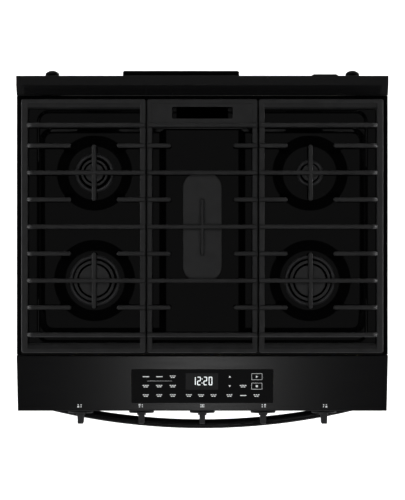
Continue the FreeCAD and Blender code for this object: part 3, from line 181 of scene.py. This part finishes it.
def burner_metal():
    s = Surface("burner_metal", (0.130, 0.130, 0.134), 0.34, metal=0.85)
    s.colour_varied(s.ramp(s.noise(50, 4.0), 0.3, 0.7), 0.25)
    s.rough_varied(s.noise(300, 3.0), 0.10)
    s.add_bump(s.noise(800, 3.0), 0.00008, 0.5)
    return s.material


def satin_black():
    """Coated steel of the control housing: very fine cross brushing under a satin coat."""
    s = Surface("satin_black", (0.0045, 0.0045, 0.0048), 0.20)
    strokes = s.noise(1.0, 4.0, 0.6, s.stretched(8, 900, 900))
    s.colour_varied(s.ramp(strokes, 0.3, 0.7), 0.12)
    s.rough_varied(strokes, 0.03)
    s.add_bump(strokes, 0.00001, 0.4)
    return s.material


def trim_black():
    s = Surface("trim_black", (0.0080, 0.0080, 0.0083), 0.24)
    s.rough_varied(s.noise(25, 4.0), 0.04)
    s.colour_varied(s.ramp(s.noise(140, 2.0), 0.35, 0.65), 0.15)
    s.add_bump(s.noise(220, 2.0), 0.00002, 0.5)
    return s.material


def side_paint():
    """Baked paint with a light orange peel."""
    s = Surface("side_paint", (0.012, 0.012, 0.0125), 0.33)
    s.rough_varied(s.noise(12, 4.0), 0.05)
    s.colour_varied(s.ramp(s.noise(30, 3.0), 0.3, 0.7), 0.12)
    s.add_bump(s.noise(420, 2.0), 0.00006, 0.5)
    return s.material


def galvanised():
    """Zinc-coated sheet with its spangle."""
    s = Surface("galvanised", (0.36, 0.37, 0.38), 0.42, metal=1.0)
    spangle = s.cells(70, output="Color")
    grey = s.node("ShaderNodeRGBToBW", {0: spangle}).outputs[0]
    s.colour_varied(s.ramp(grey, 0.1, 0.9), 0.22)
    s.rough_varied(grey, 0.10)
    s.add_bump(s.noise(260, 3.0), 0.00003, 0.4)
    return s.material


def plain_steel(name="plain_steel", colour=(0.42, 0.42, 0.43), rough=0.32):
    s = Surface(name, colour, rough, metal=1.0)
    s.colour_varied(s.ramp(s.noise(90, 4.0), 0.3, 0.7), 0.14)
    s.rough_varied(s.noise(400, 3.0), 0.10)
    s.add_bump(s.noise(700, 2.0), 0.00002, 0.4)
    return s.material


def oven_enamel():
    """Dark blue-grey porcelain with pale specks."""
    ground, fleck = (0.020, 0.023, 0.034), (0.33, 0.34, 0.36)
    s = Surface("oven_enamel", ground, 0.16)
    specks = s.ramp(s.cells(420), 0.16, 0.10)
    patches = s.ramp(s.noise(150, 3.0), 0.45, 0.60)
    s.set("Base Color", s.mix(s.math("MULTIPLY", specks, patches), ground, fleck))
    s.rough_varied(s.noise(20, 4.0), 0.05)
    s.add_bump(s.noise(120, 2.0), 0.00004, 0.5)
    return s.material


def dark_glass(name, colour, rough, specular=0.5):
    s = Surface(name, colour, rough, Specular_IOR_Level=specular)
    s.rough_varied(s.noise(9, 4.0), 0.012)
    s.colour_varied(s.ramp(s.noise(14, 3.0), 0.3, 0.7), 0.10)
    s.add_bump(s.noise(12, 1.0), 0.00001, 0.3)
    return s.material


def clear_glass():
    s = Surface("clear_glass", (0.80, 0.86, 0.84), 0.03, Transmission_Weight=0.95, IOR=1.47)
    s.rough_varied(s.noise(15, 4.0), 0.02)
    s.colour_varied(s.ramp(s.noise(10, 3.0), 0.3, 0.7), 0.05)
    return s.material


def rack_wire():
    """Plated wire, slightly straw-coloured by heat in places."""
    s = Surface("rack_wire", (0.58, 0.57, 0.55), 0.22, metal=1.0)
    s.set("Base Color", s.mix(s.ramp(s.noise(14, 3.0), 0.4, 0.7), (0.58, 0.58, 0.58), (0.50, 0.43, 0.33)))
    s.rough_varied(s.noise(220, 3.0), 0.08)
    return s.material


def glass_wool():
    s = Surface("glass_wool", (0.62, 0.53, 0.26), 0.95, Sheen_Weight=0.3)
    fibres = s.noise(1.0, 6.0, 0.7, s.stretched(260, 60, 260))
    s.colour_varied(s.ramp(fibres, 0.3, 0.7), 0.35)
    s.add_bump(fibres, 0.003, 0.8)
    return s.material


def rubber():
    s = Surface("rubber", (0.0025, 0.0025, 0.0025), 0.70, Specular_IOR_Level=0.2)
    s.colour_varied(s.ramp(s.noise(120, 4.0), 0.3, 0.7), 0.25)
    s.rough_varied(s.noise(500, 3.0), 0.08)
    s.add_bump(s.noise(900, 3.0), 0.00004, 0.5)
    return s.material


def woven_seal():
    s = Surface("woven_seal", (0.055, 0.055, 0.055), 0.85, Sheen_Weight=0.2)
    inputs = {"Vector": s.place, "Scale": 260, "Distortion": 2.0}
    weave = s.node("ShaderNodeTexWave", inputs).outputs["Fac"]
    s.colour_varied(weave, 0.45)
    s.add_bump(weave, 0.0006, 0.8)
    return s.material


def knob_finish():
    s = Surface("knob_finish", (0.050, 0.050, 0.052), 0.34, metal=0.35)
    s.colour_varied(s.ramp(s.noise(60, 4.0), 0.3, 0.7), 0.10)
    s.rough_varied(s.noise(500, 3.0), 0.05)
    s.add_bump(s.noise(1100, 2.0), 0.00002, 0.4)
    return s.material


def handle_finish():
    s = Surface("handle_finish", (0.0036, 0.0036, 0.0038), 0.24)
    s.colour_varied(s.ramp(s.noise(40, 4.0), 0.3, 0.7), 0.12)
    s.rough_varied(s.noise(350, 3.0), 0.04)
    s.add_bump(s.noise(300, 2.0), 0.000005, 0.3)
    return s.material


def ceramic():
    s = Surface("ceramic", (0.72, 0.70, 0.64), 0.25)
    s.colour_varied(s.ramp(s.noise(300, 4.0), 0.3, 0.7), 0.12)
    s.rough_varied(s.noise(500, 3.0), 0.06)
    return s.material


def glowing_ink(name, colour, glow):
    """Printed or lit marks on the glass, glowing by their emission; on the printed marks the glow is
    painted light.
    """
    s = Surface(name, colour, 0.5, Emission_Color=(*colour, 1), Emission_Strength=glow)
    s.colour_varied(s.ramp(s.noise(900, 2.0), 0.3, 0.7), 0.06)
    return s.material


def matt_black():
    """Flat black paint of the box on the back."""
    s = Surface("matt_black", (0.0016, 0.0016, 0.0016), 0.55, Specular_IOR_Level=0.15)
    s.colour_varied(s.ramp(s.noise(60, 3.0), 0.3, 0.7), 0.2)
    s.rough_varied(s.noise(300, 3.0), 0.06)
    s.add_bump(s.noise(400, 2.0), 0.00004, 0.5)
    return s.material


SLOT_MATERIALS = {
    "cast_iron": cast_iron(),
    "black_enamel": gloss_enamel(),
    "cap_enamel": cap_enamel(),
    "burner_aluminium": burner_metal(),
    "black_steel": satin_black(),
    "side_paint": side_paint(),
    "galvanised": galvanised(),
    "control_glass": dark_glass("control_glass", (0.0035, 0.0035, 0.0038), 0.42, 0.30),
    "door_glass": dark_glass("door_glass", (0.0030, 0.0030, 0.0032), 0.04),
    "clear_glass": clear_glass(),
    "oven_enamel": oven_enamel(),
    "rack_wire": rack_wire(),
    "insulation": glass_wool(),
    "rubber": rubber(),
    "gasket": woven_seal(),
    "knob_finish": knob_finish(),
    "handle_finish": handle_finish(),
    "brass": plain_steel("brass", (0.55, 0.39, 0.15), 0.30),
    "steel": plain_steel(),
    "pipe_aluminium": plain_steel("pipe_aluminium", (0.62, 0.62, 0.63), 0.35),
    "ceramic": ceramic(),
    "foot": rubber(),
}
NODE_MATERIALS = {
    "rear_cover": matt_black(),
    "rear_trim": trim_black(),
    # The flue duct is painted near-black: painted shade inside the vent.
    "flue_duct": plain_steel("vent_shade_black", (0.012, 0.012, 0.012), 0.70),
}


def paint_nodes():
    """Gives every CAD node the material of its slot."""
    for part in frame["record"]["subparts"]:
        node = frame["nodes"][part["node"]]
        node.data.materials.clear()
        node.data.materials.append(NODE_MATERIALS.get(part["node"], SLOT_MATERIALS[part["material_slot"]]))


paint_nodes()


# ------------------------------------------------------------------ mesh helpers
def mesh_piece(name, points, faces, material, body, smooth=True):
    """A named mesh from points and faces that moves with a body."""
    mesh = bpy.data.meshes.new(name)
    mesh.from_pydata(points, [], faces)
    mesh.validate()
    made = bpy.data.objects.new(name, mesh)
    bpy.context.scene.collection.objects.link(made)
    mesh.materials.append(material)
    mesh.polygons.foreach_set("use_smooth", [smooth] * len(mesh.polygons))
    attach(made, body)
    return made


def eased(t, soft=0.22):
    """0 to 1 along a straight ramp whose two ends are rounded over the soft share of it."""
    t = min(max(t, 0.0), 1.0)
    slope = 1 / (1 - soft)
    if t < soft:
        return slope * t * t / (2 * soft)
    if t > 1 - soft:
        return 1 - slope * (1 - t) ** 2 / (2 * soft)
    return slope * (t - soft / 2)


def outside_rectangle(x, y, x0, x1, y0, y1, corner):
    """Distance outside a round-cornered rectangle, negative inside it."""
    dx = abs(x - (x0 + x1) / 2) - (x1 - x0) / 2 + corner
    dy = abs(y - (y0 + y1) / 2) - (y1 - y0) / 2 + corner
    return math.hypot(max(dx, 0), max(dy, 0)) + min(max(dx, dy), 0) - corner


# ------------------------------------------------------------------ cooktop
PADS = [(side * BURNER_X, y, top * MM, foot * MM)
        for side in (-1, 1)
        for y, top, foot in ((REAR_Y, 55.0, 77.0), (FRONT_Y, 61.0, 83.0))]
VENT_HALF = 52 * MM
VENT_FRONT, VENT_BACK = 270 * MM, 294 * MM
EDGE_FACET = 8.5 * MM
EDGE_DROP = 3.6 * MM

# Outlines on the pan as left, right, front, back and corner radius.
LEDGE = (-335 * MM, 335 * MM, -185 * MM, 285 * MM, 21 * MM)
LEDGE_STEP = 6 * MM
WELL = (-333 * MM, 333 * MM, -171 * MM, 252 * MM, 26 * MM)
WELL_WALL = 10.5 * MM
FRONT_WALL = 14 * MM
MIDDLE = (-88 * MM, 88 * MM, -181 * MM, 262 * MM, 8 * MM)
MIDDLE_WALL = 14 * MM


def cooktop_height(x, y):
    """Height of the pressed top: rim, ledges, wells, pads and the raised middle."""
    ledge = outside_rectangle(x, y, *LEDGE)
    height = RIM_Z - (RIM_Z - LEDGE_Z) * (1 - eased(ledge / LEDGE_STEP + 0.5))
    well = outside_rectangle(x, y, *WELL)
    towards_front = min(max((-y - 110 * MM) / (40 * MM), 0.0), 1.0)
    wall = WELL_WALL + (FRONT_WALL - WELL_WALL) * towards_front
    height -= (LEDGE_Z - WELL_Z) * (1 - eased((well + wall) / wall, 0.16))
    for px, py, top, foot in PADS:
        reach = math.hypot(x - px, y - py)
        if reach < foot:
            pad = WELL_Z + (PAD_Z - WELL_Z) * eased((foot - reach) / (foot - top), 0.06)
            height = max(height, pad)
    middle = outside_rectangle(x, y, *MIDDLE)
    raised = WELL_Z + (PLATEAU_Z - WELL_Z) * eased(-middle / MIDDLE_WALL, 0.10)
    height = max(height, raised)
    from_edge = min(HALF - abs(x), PAN_BACK - y)
    if from_edge < EDGE_FACET:
        height -= EDGE_DROP * eased((EDGE_FACET - from_edge) / EDGE_FACET, 0.06)
    return height


def graded(low, high, features, fine=1.1 * MM, coarse=3.4 * MM, near=13 * MM):
    """Grid lines from low to high that are closer together near the features."""
    lines = [low]
    while lines[-1] < high - fine:
        close = any(abs(lines[-1] - place) < near for place in features)
        lines.append(lines[-1] + (fine if close else coarse))
    lines[-1] = high
    return lines


def cooktop_pan():
    edges_x = (-HALF, -335 * MM, -327 * MM, -VENT_HALF, -82 * MM)
    xs = graded(-HALF, 0.0, edges_x)
    xs += [-x for x in reversed(xs[:-1])]
    edges_y = (-185 * MM, -172 * MM, -162 * MM, 246 * MM, 256 * MM, VENT_FRONT, 285 * MM, PAN_BACK)
    ys = graded(PAN_FRONT, PAN_BACK, edges_y)
    points = [(x, y, cooktop_height(x, y)) for y in ys for x in xs]
    wide = len(xs)
    faces = []
    for row in range(len(ys) - 1):
        for column in range(wide - 1):
            x = (xs[column] + xs[column + 1]) / 2
            y = (ys[row] + ys[row + 1]) / 2
            if abs(x) < VENT_HALF and VENT_FRONT < y < VENT_BACK:
                continue
            first = row * wide + column
            faces.append((first, first + 1, first + wide + 1, first + wide))
    last_row = (len(ys) - 1) * wide
    rim = list(range(wide))
    rim += [row * wide + wide - 1 for row in range(1, len(ys))]
    rim += [last_row + column for column in range(wide - 2, -1, -1)]
    rim += [row * wide for row in range(len(ys) - 2, 0, -1)]
    skirt = len(points)
    points += [(points[i][0], points[i][1], SKIRT_Z) for i in rim]
    for index, top in enumerate(rim):
        after = (index + 1) % len(rim)
        faces.append((top, skirt + index, skirt + after, rim[after]))
    pan = mesh_piece("cooktop_pan", points, faces, SLOT_MATERIALS["black_enamel"], "range_body")
    pan.data.set_sharp_from_angle(angle=math.radians(38))
    shell = pan.modifiers.new("sheet", "SOLIDIFY")
    shell.thickness = PAN_SHEET
    shell.offset = -1
    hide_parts("cooktop")


cooktop_pan()


# ------------------------------------------------------------------ burners
CAP_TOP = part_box("burner_caps")[1].z
SHELF_Z = PAD_Z + 3.5 * MM
ROUND_BURNERS = [(-BURNER_X, REAR_Y, 27.7, 40.0, 19.5), (-BURNER_X, FRONT_Y, 41.7, 52.3, 32.4),
                 (BURNER_X, FRONT_Y, 41.7, 52.3, 32.4), (BURNER_X, REAR_Y, 17.5, 27.7, 12.0)]


def ring_set(name, rings, material, sides=96):
    """Flat rings, each from x, y, height, inner and outer radius."""
    points = []
    faces = []
    for x, y, z, inner, outer in rings:
        first = len(points)
        for step in range(sides):
            turn = 2 * math.pi * step / sides
            for radius in (inner, outer):
                points.append((x + radius * math.cos(turn), y + radius * math.sin(turn), z))
        for step in range(sides):
            a = first + 2 * step
            b = first + 2 * ((step + 1) % sides)
            faces.append((a, a + 1, b + 1, b))
    mesh_piece(name, points, faces, material, "range_body", smooth=False)


def burner_rings():
    """Black rings of painted shade: painted shadow in the grooves of the caps and in the gaps between the
    caps and their bases.
    """
    # Painted shade: near-black flat rings laid where the grooves and gaps fall in shadow.
    black = plain_steel("painted_groove_shade", (0.0020, 0.0020, 0.0020), 0.75)
    grooves = [(x, y, CAP_TOP - 0.74 * MM, (inner - 0.3) * MM, (inner + 3.4) * MM)
               for x, y, _, base, inner in ROUND_BURNERS if base > 30]
    ring_set("cap_groove_shade", grooves, black)
    gaps = [(x, y, SHELF_Z + 0.1 * MM, (cap - 2) * MM, (base - 7.4) * MM)
            for x, y, cap, base, _ in ROUND_BURNERS]
    ring_set("burner_gap_shade", gaps, black)


burner_rings()


# ------------------------------------------------------------------ control panel
def on_panel(x, y, lift):
    """The point over x, y that stands that far off the sloping panel."""
    level = PANEL_BACK.dot(PANEL_OUT) + lift
    return (x, y, (level - PANEL_OUT.y * y) / PANEL_OUT.z)


class Marks:
    """Flat printed marks, in millimetres over the panel, gathered into one mesh."""

    def __init__(self, lift):
        self.lift = lift
        self.points = []
        self.faces = []

    def outline(self, corners):
        first = len(self.points)
        self.points += [on_panel(x * MM, y * MM, self.lift) for x, y in corners]
        self.faces.append(tuple(range(first, first + len(corners))))

    def bar(self, x0, x1, y0, y1):
        self.outline([(x0, y0), (x1, y0), (x1, y1), (x0, y1)])

    def frame(self, x, y, wide, high, line):
        left, right, low, top = x - wide / 2, x + wide / 2, y - high / 2, y + high / 2
        self.bar(left, right, low, low + line)
        self.bar(left, right, top - line, top)
        self.bar(left, left + line, low + line, top - line)
        self.bar(right - line, right, low + line, top - line)

    def label(self, x, y, wide, lines=2):
        """A generic legend: one dash, or three short dashes over two."""
        if lines == 1:
            self.bar(x - wide / 2, x + wide / 2, y - 0.9, y + 0.9)
            return
        upper = (y + 0.7, y + 2.4, wide / 2, 3)
        lower = (y - 2.4, y - 0.7, wide * 0.36, 2)
        for low, high, reach, parts in (upper, lower):
            step = 2 * reach / parts
            for part in range(parts):
                left = x - reach + part * step
                self.bar(left, left + step - 1.1, low, high)

    def made(self, name, material, slot="control_glass"):
        piece = mesh_piece(name, self.points, self.faces, material, "range_body", smooth=False)


LEFT_COLUMNS = (-115.5, -88.0, -60.0)
MIDDLE_COLUMNS = (-27.0, -2.0, 23.6)
RIGHT_COLUMNS = (56.2, 84.1, 111.8)
TOP_ROW, MIDDLE_ROW, LOW_ROW = -257.3, -277.0, -296.5
CLOCK_TOP, CLOCK_LOW = -257.3, -275.1
DIGIT_WIDE = 7.6
STROKE = 1.8
SEGMENTS = {"0": "abcdef", "1": "bc", "2": "abged"}
KNOB_MARK_Y = -318.0


def glass_legends():
    ink = Marks(GLASS_PROUD + 0.12 * MM)
    for index, x in enumerate(LEFT_COLUMNS):
        ink.label(x, TOP_ROW, 13, lines=2 if index == 2 else 1)
        ink.label(x, MIDDLE_ROW, 14)
    for x in LEFT_COLUMNS + MIDDLE_COLUMNS + RIGHT_COLUMNS:
        ink.label(x, LOW_ROW, 13, lines=1 if x == RIGHT_COLUMNS[1] else 2)
    ink.label(RIGHT_COLUMNS[1], MIDDLE_ROW, 15)
    ink.bar(-113.0, -62.0, -266.4, -266.05)
    x = RIGHT_COLUMNS[0]
    ink.outline([(x - 2.6, TOP_ROW - 1.8), (x + 2.6, TOP_ROW - 1.8), (x, TOP_ROW + 2.2)])
    ink.outline([(x - 2.6, MIDDLE_ROW + 1.8), (x, MIDDLE_ROW - 2.2), (x + 2.6, MIDDLE_ROW + 1.8)])
    x = RIGHT_COLUMNS[2]
    for y in (TOP_ROW, MIDDLE_ROW):
        ink.frame(x, y, 21.8, 13.3, 0.6)
    ink.outline([(x - 2.0, TOP_ROW - 2.6), (x + 2.6, TOP_ROW), (x - 2.0, TOP_ROW + 2.6)])
    ink.bar(x - 2.1, x + 2.1, MIDDLE_ROW - 2.1, MIDDLE_ROW + 2.1)
    # Painted light: the printed legends glow by emission.
    ink.made("glass_legends", glowing_ink("panel_ink_glow", (0.48, 0.49, 0.49), 0.60))


def clock_digits():
    lit = Marks(GLASS_PROUD + 0.16 * MM)
    middle = (CLOCK_TOP + CLOCK_LOW) / 2
    half = STROKE / 2
    for left, digit in ((-21.0, "1"), (-10.6, "2"), (2.4, "2"), (13.0, "0")):
        right = left + DIGIT_WIDE
        strokes = {
            "a": (left + half, right - half, CLOCK_TOP - STROKE, CLOCK_TOP),
            "g": (left + half, right - half, middle - half, middle + half),
            "d": (left + half, right - half, CLOCK_LOW, CLOCK_LOW + STROKE),
            "b": (right - STROKE, right, middle + 0.3, CLOCK_TOP - half),
            "c": (right - STROKE, right, CLOCK_LOW + half, middle - 0.3),
            "f": (left, left + STROKE, middle + 0.3, CLOCK_TOP - half),
            "e": (left, left + STROKE, CLOCK_LOW + half, middle - 0.3),
        }
        for letter in SEGMENTS[digit]:
            lit.bar(*strokes[letter])
    for y in (middle - 4.2, middle + 4.2):
        lit.bar(-1.5, 0.5, y - 1.0, y + 1.0)
    lit.made("clock_digits", glowing_ink("clock_glow", (0.72, 0.76, 0.76), 0.70))


def display_window():
    window = Marks(GLASS_PROUD + 0.06 * MM)
    window.bar(-34.3, 32.4, -284.6, -250.0)
    window.made("display_window", dark_glass("display_tint", (0.0125, 0.0125, 0.0130), 0.35, 0.30))


def knob_marks():
    """A small burner map behind each knob, with that knob's burner drawn larger."""
    ink = Marks(0.10 * MM)
    pitch = KNOB_PITCH / MM
    corners = {0: (-1, -1), 1: (-1, 1), 3: (1, 1), 4: (1, -1)}
    for index in range(5):
        x = (index - 2) * pitch
        for sx in (-1, 1):
            for sy in (-1, 1):
                size = 1.9 if corners.get(index) == (sx, sy) else 1.1
                cx, cy = x + sx * 2.9, KNOB_MARK_Y + sy * 2.1
                ink.bar(cx - size, cx + size, cy - min(size, 1.6), cy + min(size, 1.6))
        if index == 2:
            ink.bar(x - 1.0, x + 1.0, KNOB_MARK_Y - 3.2, KNOB_MARK_Y + 3.2)
    # Painted light: the printed burner maps glow by emission.
    ink.made("knob_marks", glowing_ink("mark_ink_glow", (0.50, 0.51, 0.51), 0.45), "black_steel")


def knob_lines():
    """A pale pointer line down the front of each knob."""
    # Painted light: the printed pointer lines glow faintly by emission.
    ink = glowing_ink("pointer_ink_glow", (0.55, 0.56, 0.56), 0.15)
    for number in range(1, 6):
        low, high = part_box(f"knob_{number}")
        x = (low.x + high.x) / 2
        z = (low.z + high.z) / 2
        tip = low.y - 0.12 * MM
        corners = ((x - 0.8 * MM, z + 2 * MM), (x + 0.8 * MM, z + 2 * MM),
                   (x + 0.8 * MM, z + 13 * MM), (x - 0.8 * MM, z + 13 * MM))
        points = [(px, tip, pz) for px, pz in corners]
        name, body = f"knob_line_{number}", f"dial_{number}"
        line = mesh_piece(name, points, [(0, 1, 2, 3)], ink, body, smooth=False)


display_window()
glass_legends()
clock_digits()
knob_marks()
knob_lines()


# ------------------------------------------------------------------ vent slats and door window
def vent_slats():
    """Leaning black slats inside the oven vent, in the duct's near-black: painted shade in the vent."""
    points = []
    faces = []
    for step in range(5):
        y = VENT_FRONT + (2 + step * 4.6) * MM
        first = len(points)
        for dy, dz in ((0, -3.0), (1.0, -3.0), (5.0, -13.0), (4.0, -13.0)):
            for side in (-1, 1):
                points.append((side * (VENT_HALF - 0.5 * MM), y + dy * MM, LEDGE_Z + dz * MM))
        for a, b in ((0, 2), (2, 4), (4, 6), (6, 0)):
            faces.append((first + a, first + a + 1, first + b + 1, first + b))
        faces.append((first, first + 2, first + 4, first + 6))
        faces.append((first + 1, first + 7, first + 5, first + 3))
    # Painted shade: the slats take the duct's near-black colour.
    vent_shade = NODE_MATERIALS["flue_duct"]
    slats = mesh_piece("vent_slats", points, faces, vent_shade, "range_body", smooth=False)


def door_window():
    """The printed border line round the door's window and the brown-black tint inside it."""
    low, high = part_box("door_glass")
    y = low.y - 0.10 * MM
    middle = (low.x + high.x) / 2
    z = low.z + (high.z - low.z) * 0.52
    half_x, half_z, line = 230 * MM, 130 * MM, 2.2 * MM

    def sheet(name, bars, material):
        points = []
        faces = []
        for x0, x1, z0, z1 in bars:
            first = len(points)
            points.extend([(x0, y, z0), (x1, y, z0), (x1, y, z1), (x0, y, z1)])
            faces.append((first, first + 1, first + 2, first + 3))
        piece = mesh_piece(name, points, faces, material, "door", smooth=False)

    left, right, bottom, top = middle - half_x, middle + half_x, z - half_z, z + half_z
    tint = dark_glass("window_tint", (0.0085, 0.0070, 0.0060), 0.05)
    sheet("window_tint", [(left, right, bottom, top)], tint)
    border = [(left - line, right + line, top, top + line),
              (left - line, right + line, bottom - line, bottom),
              (left - line, left, bottom, top), (right, right + line, bottom, top)]
    sheet("window_border", border, dark_glass("window_border", (0.030, 0.030, 0.031), 0.30))


def seam_plate():
    """A thin black plate over the seam behind the trim, on the right of the back."""
    _, trim_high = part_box("rear_trim")
    left, right, end, proud = 222 * MM, 279 * MM, 6 * MM, 3.5 * MM
    back = trim_high.y
    plan = [(left, back - 4 * MM), (right, back - 4 * MM), (right, back),
            (right - end, back + proud), (left + end, back + proud), (left, back)]
    low, top = trim_high.z - 70 * MM, trim_high.z - 8 * MM
    sides = len(plan)
    points = [(x, y, z) for z in (low, top) for x, y in plan]
    faces = [(i, (i + 1) % sides, sides + (i + 1) % sides, sides + i) for i in range(sides)]
    faces += [tuple(range(sides - 1, -1, -1)), tuple(range(sides, 2 * sides))]
    black = NODE_MATERIALS["rear_cover"]
    plate = mesh_piece("seam_plate", points, faces, black, "range_body", smooth=False)


vent_slats()
door_window()
seam_plate()


# ------------------------------------------------------------------ stage
def studio_world():
    """Dim room, a small grey card straight overhead, a faint horizon and a pale low backdrop."""
    world = bpy.data.worlds.new("studio")
    world.use_nodes = True
    bpy.context.scene.world = world
    tree = world.node_tree
    place = tree.nodes.new("ShaderNodeTexCoord")
    split = tree.nodes.new("ShaderNodeSeparateXYZ")
    lift = tree.nodes.new("ShaderNodeMapRange")
    ramp = tree.nodes.new("ShaderNodeValToRGB")
    lift.inputs["From Min"].default_value = -1.0
    tree.links.new(place.outputs["Generated"], split.inputs[0])
    tree.links.new(split.outputs["Z"], lift.inputs["Value"])
    tree.links.new(lift.outputs["Result"], ramp.inputs["Fac"])
    tree.links.new(ramp.outputs["Color"], tree.nodes["Background"].inputs["Color"])
    card = math.cos(math.radians(9))
    card_edge = math.cos(math.radians(14))
    # Each step is the height of a direction, from -1 straight down to 1 straight up, and its brightness.
    steps = [(-1.0, 0.05), (-0.68, 0.07), (-0.58, 0.55), (-0.28, 0.55), (-0.21, 0.05), (-0.03, 0.05),
             (0.0, 0.4), (0.05, 0.4), (0.09, 0.05), (0.25, 0.02), (0.45, 0.008), (card_edge, 0.008),
             (card, 0.100), (1.0, 0.100)]
    ramp.color_ramp.elements.remove(ramp.color_ramp.elements[0])
    for index, (height, value) in enumerate(steps):
        spot = (height + 1) / 2
        stop = ramp.color_ramp.elements[0] if index == 0 else ramp.color_ramp.elements.new(spot)
        stop.position = spot
        stop.color = (value, value, value, 1)


def softbox(name, where, target, size_x, size_y, power, glossy=True):
    """An area light that the camera doesn't see; with glossy off, reflections don't show it either."""
    lamp = bpy.data.lights.new(name, "AREA")
    lamp.shape = "RECTANGLE"
    lamp.size, lamp.size_y = size_x, size_y
    lamp.energy = power
    holder = bpy.data.objects.new(name, lamp)
    bpy.context.scene.collection.objects.link(holder)
    holder.location = where
    aim = Vector(target) - Vector(where)
    holder.rotation_mode = "QUATERNION"
    holder.rotation_quaternion = aim.to_track_quat("-Z", "Y")
    holder.visible_camera = False
    holder.visible_glossy = glossy
    return holder


def make_floor():
    """A wide pale floor that glows evenly, except under the range, where the glow is cut to leave a
    painted shadow.
    """
    footprint_x, footprint_y = 0.36, 0.31
    bpy.ops.mesh.primitive_plane_add(size=60)
    floor = bpy.context.object
    floor.name = "floor"
    s = Surface("floor_pale", (0.86, 0.86, 0.86), 0.8, Emission_Color=(1, 1, 1, 1))
    s.colour_varied(s.noise(0.4, 2.0), 0.01)
    place = s.node("ShaderNodeSeparateXYZ", {0: s.place}).outputs
    beyond_x = s.math("SUBTRACT", s.math("ABSOLUTE", place["X"], 0.0), footprint_x)
    beyond_y = s.math("SUBTRACT", s.math("ABSOLUTE", place["Y"], 0.0), footprint_y)
    # Painted shadow: the glow drops to almost nothing under the range's footprint.
    s.set("Emission Strength", s.ramp(s.math("MAXIMUM", beyond_x, beyond_y), -0.03, 0.05, 0.01, 0.75))
    floor.data.materials.append(s.material)
    floor.visible_glossy = False


def make_lights():
    """A narrow front light, broad fills out of reflections and a low light for each outer grate."""
    over_top = (0, 0, 0.9)
    on_slope = (0, -0.27, 0.9)
    fill_height = 0.46
    softbox("front_light", (0, -2.275, 3.61), on_slope, 0.30, 0.45, 1.25)
    softbox("overhead_fill", (0, 0.2, 4.2), over_top, 2.6, 2.6, 55, glossy=False)
    for name, x, y, power in (("front_fill", 0, -3.4, 220), ("rear_fill", 0, 3.4, 120),
                              ("left_fill", -3.4, 0, 200), ("right_fill", 3.4, 0, 200)):
        softbox(name, (x, y, fill_height), (0, 0, fill_height), 2.4, 0.8, power, glossy=False)

    for side, grate in ((-1, "grate_left"), (1, "grate_right")):
        rim_light = softbox(f"{grate}_light", (side * 3.0, 0.05, 1.35), over_top, 0.3, 2.0, 17)
        lit = bpy.data.collections.new(f"{grate}_lit")
        lit.objects.link(frame["nodes"][grate])
        rim_light.light_linking.receiver_collection = lit


def make_camera():
    """A long lens high over the cooktop, looking straight down."""
    camera = bpy.data.cameras.new("camera")
    holder = bpy.data.objects.new("camera", camera)
    bpy.context.scene.collection.objects.link(holder)
    height_over_rim = 5.5
    holder.location = (0.0004, 2.25 * MM, RIM_Z + height_over_rim)
    camera.sensor_width = 36.0
    camera.lens = 193.7
    camera.clip_end = 200
    bpy.context.scene.camera = holder
    bpy.context.scene.view_settings.view_transform = "Standard"


make_floor()
studio_world()
make_lights()
make_camera()
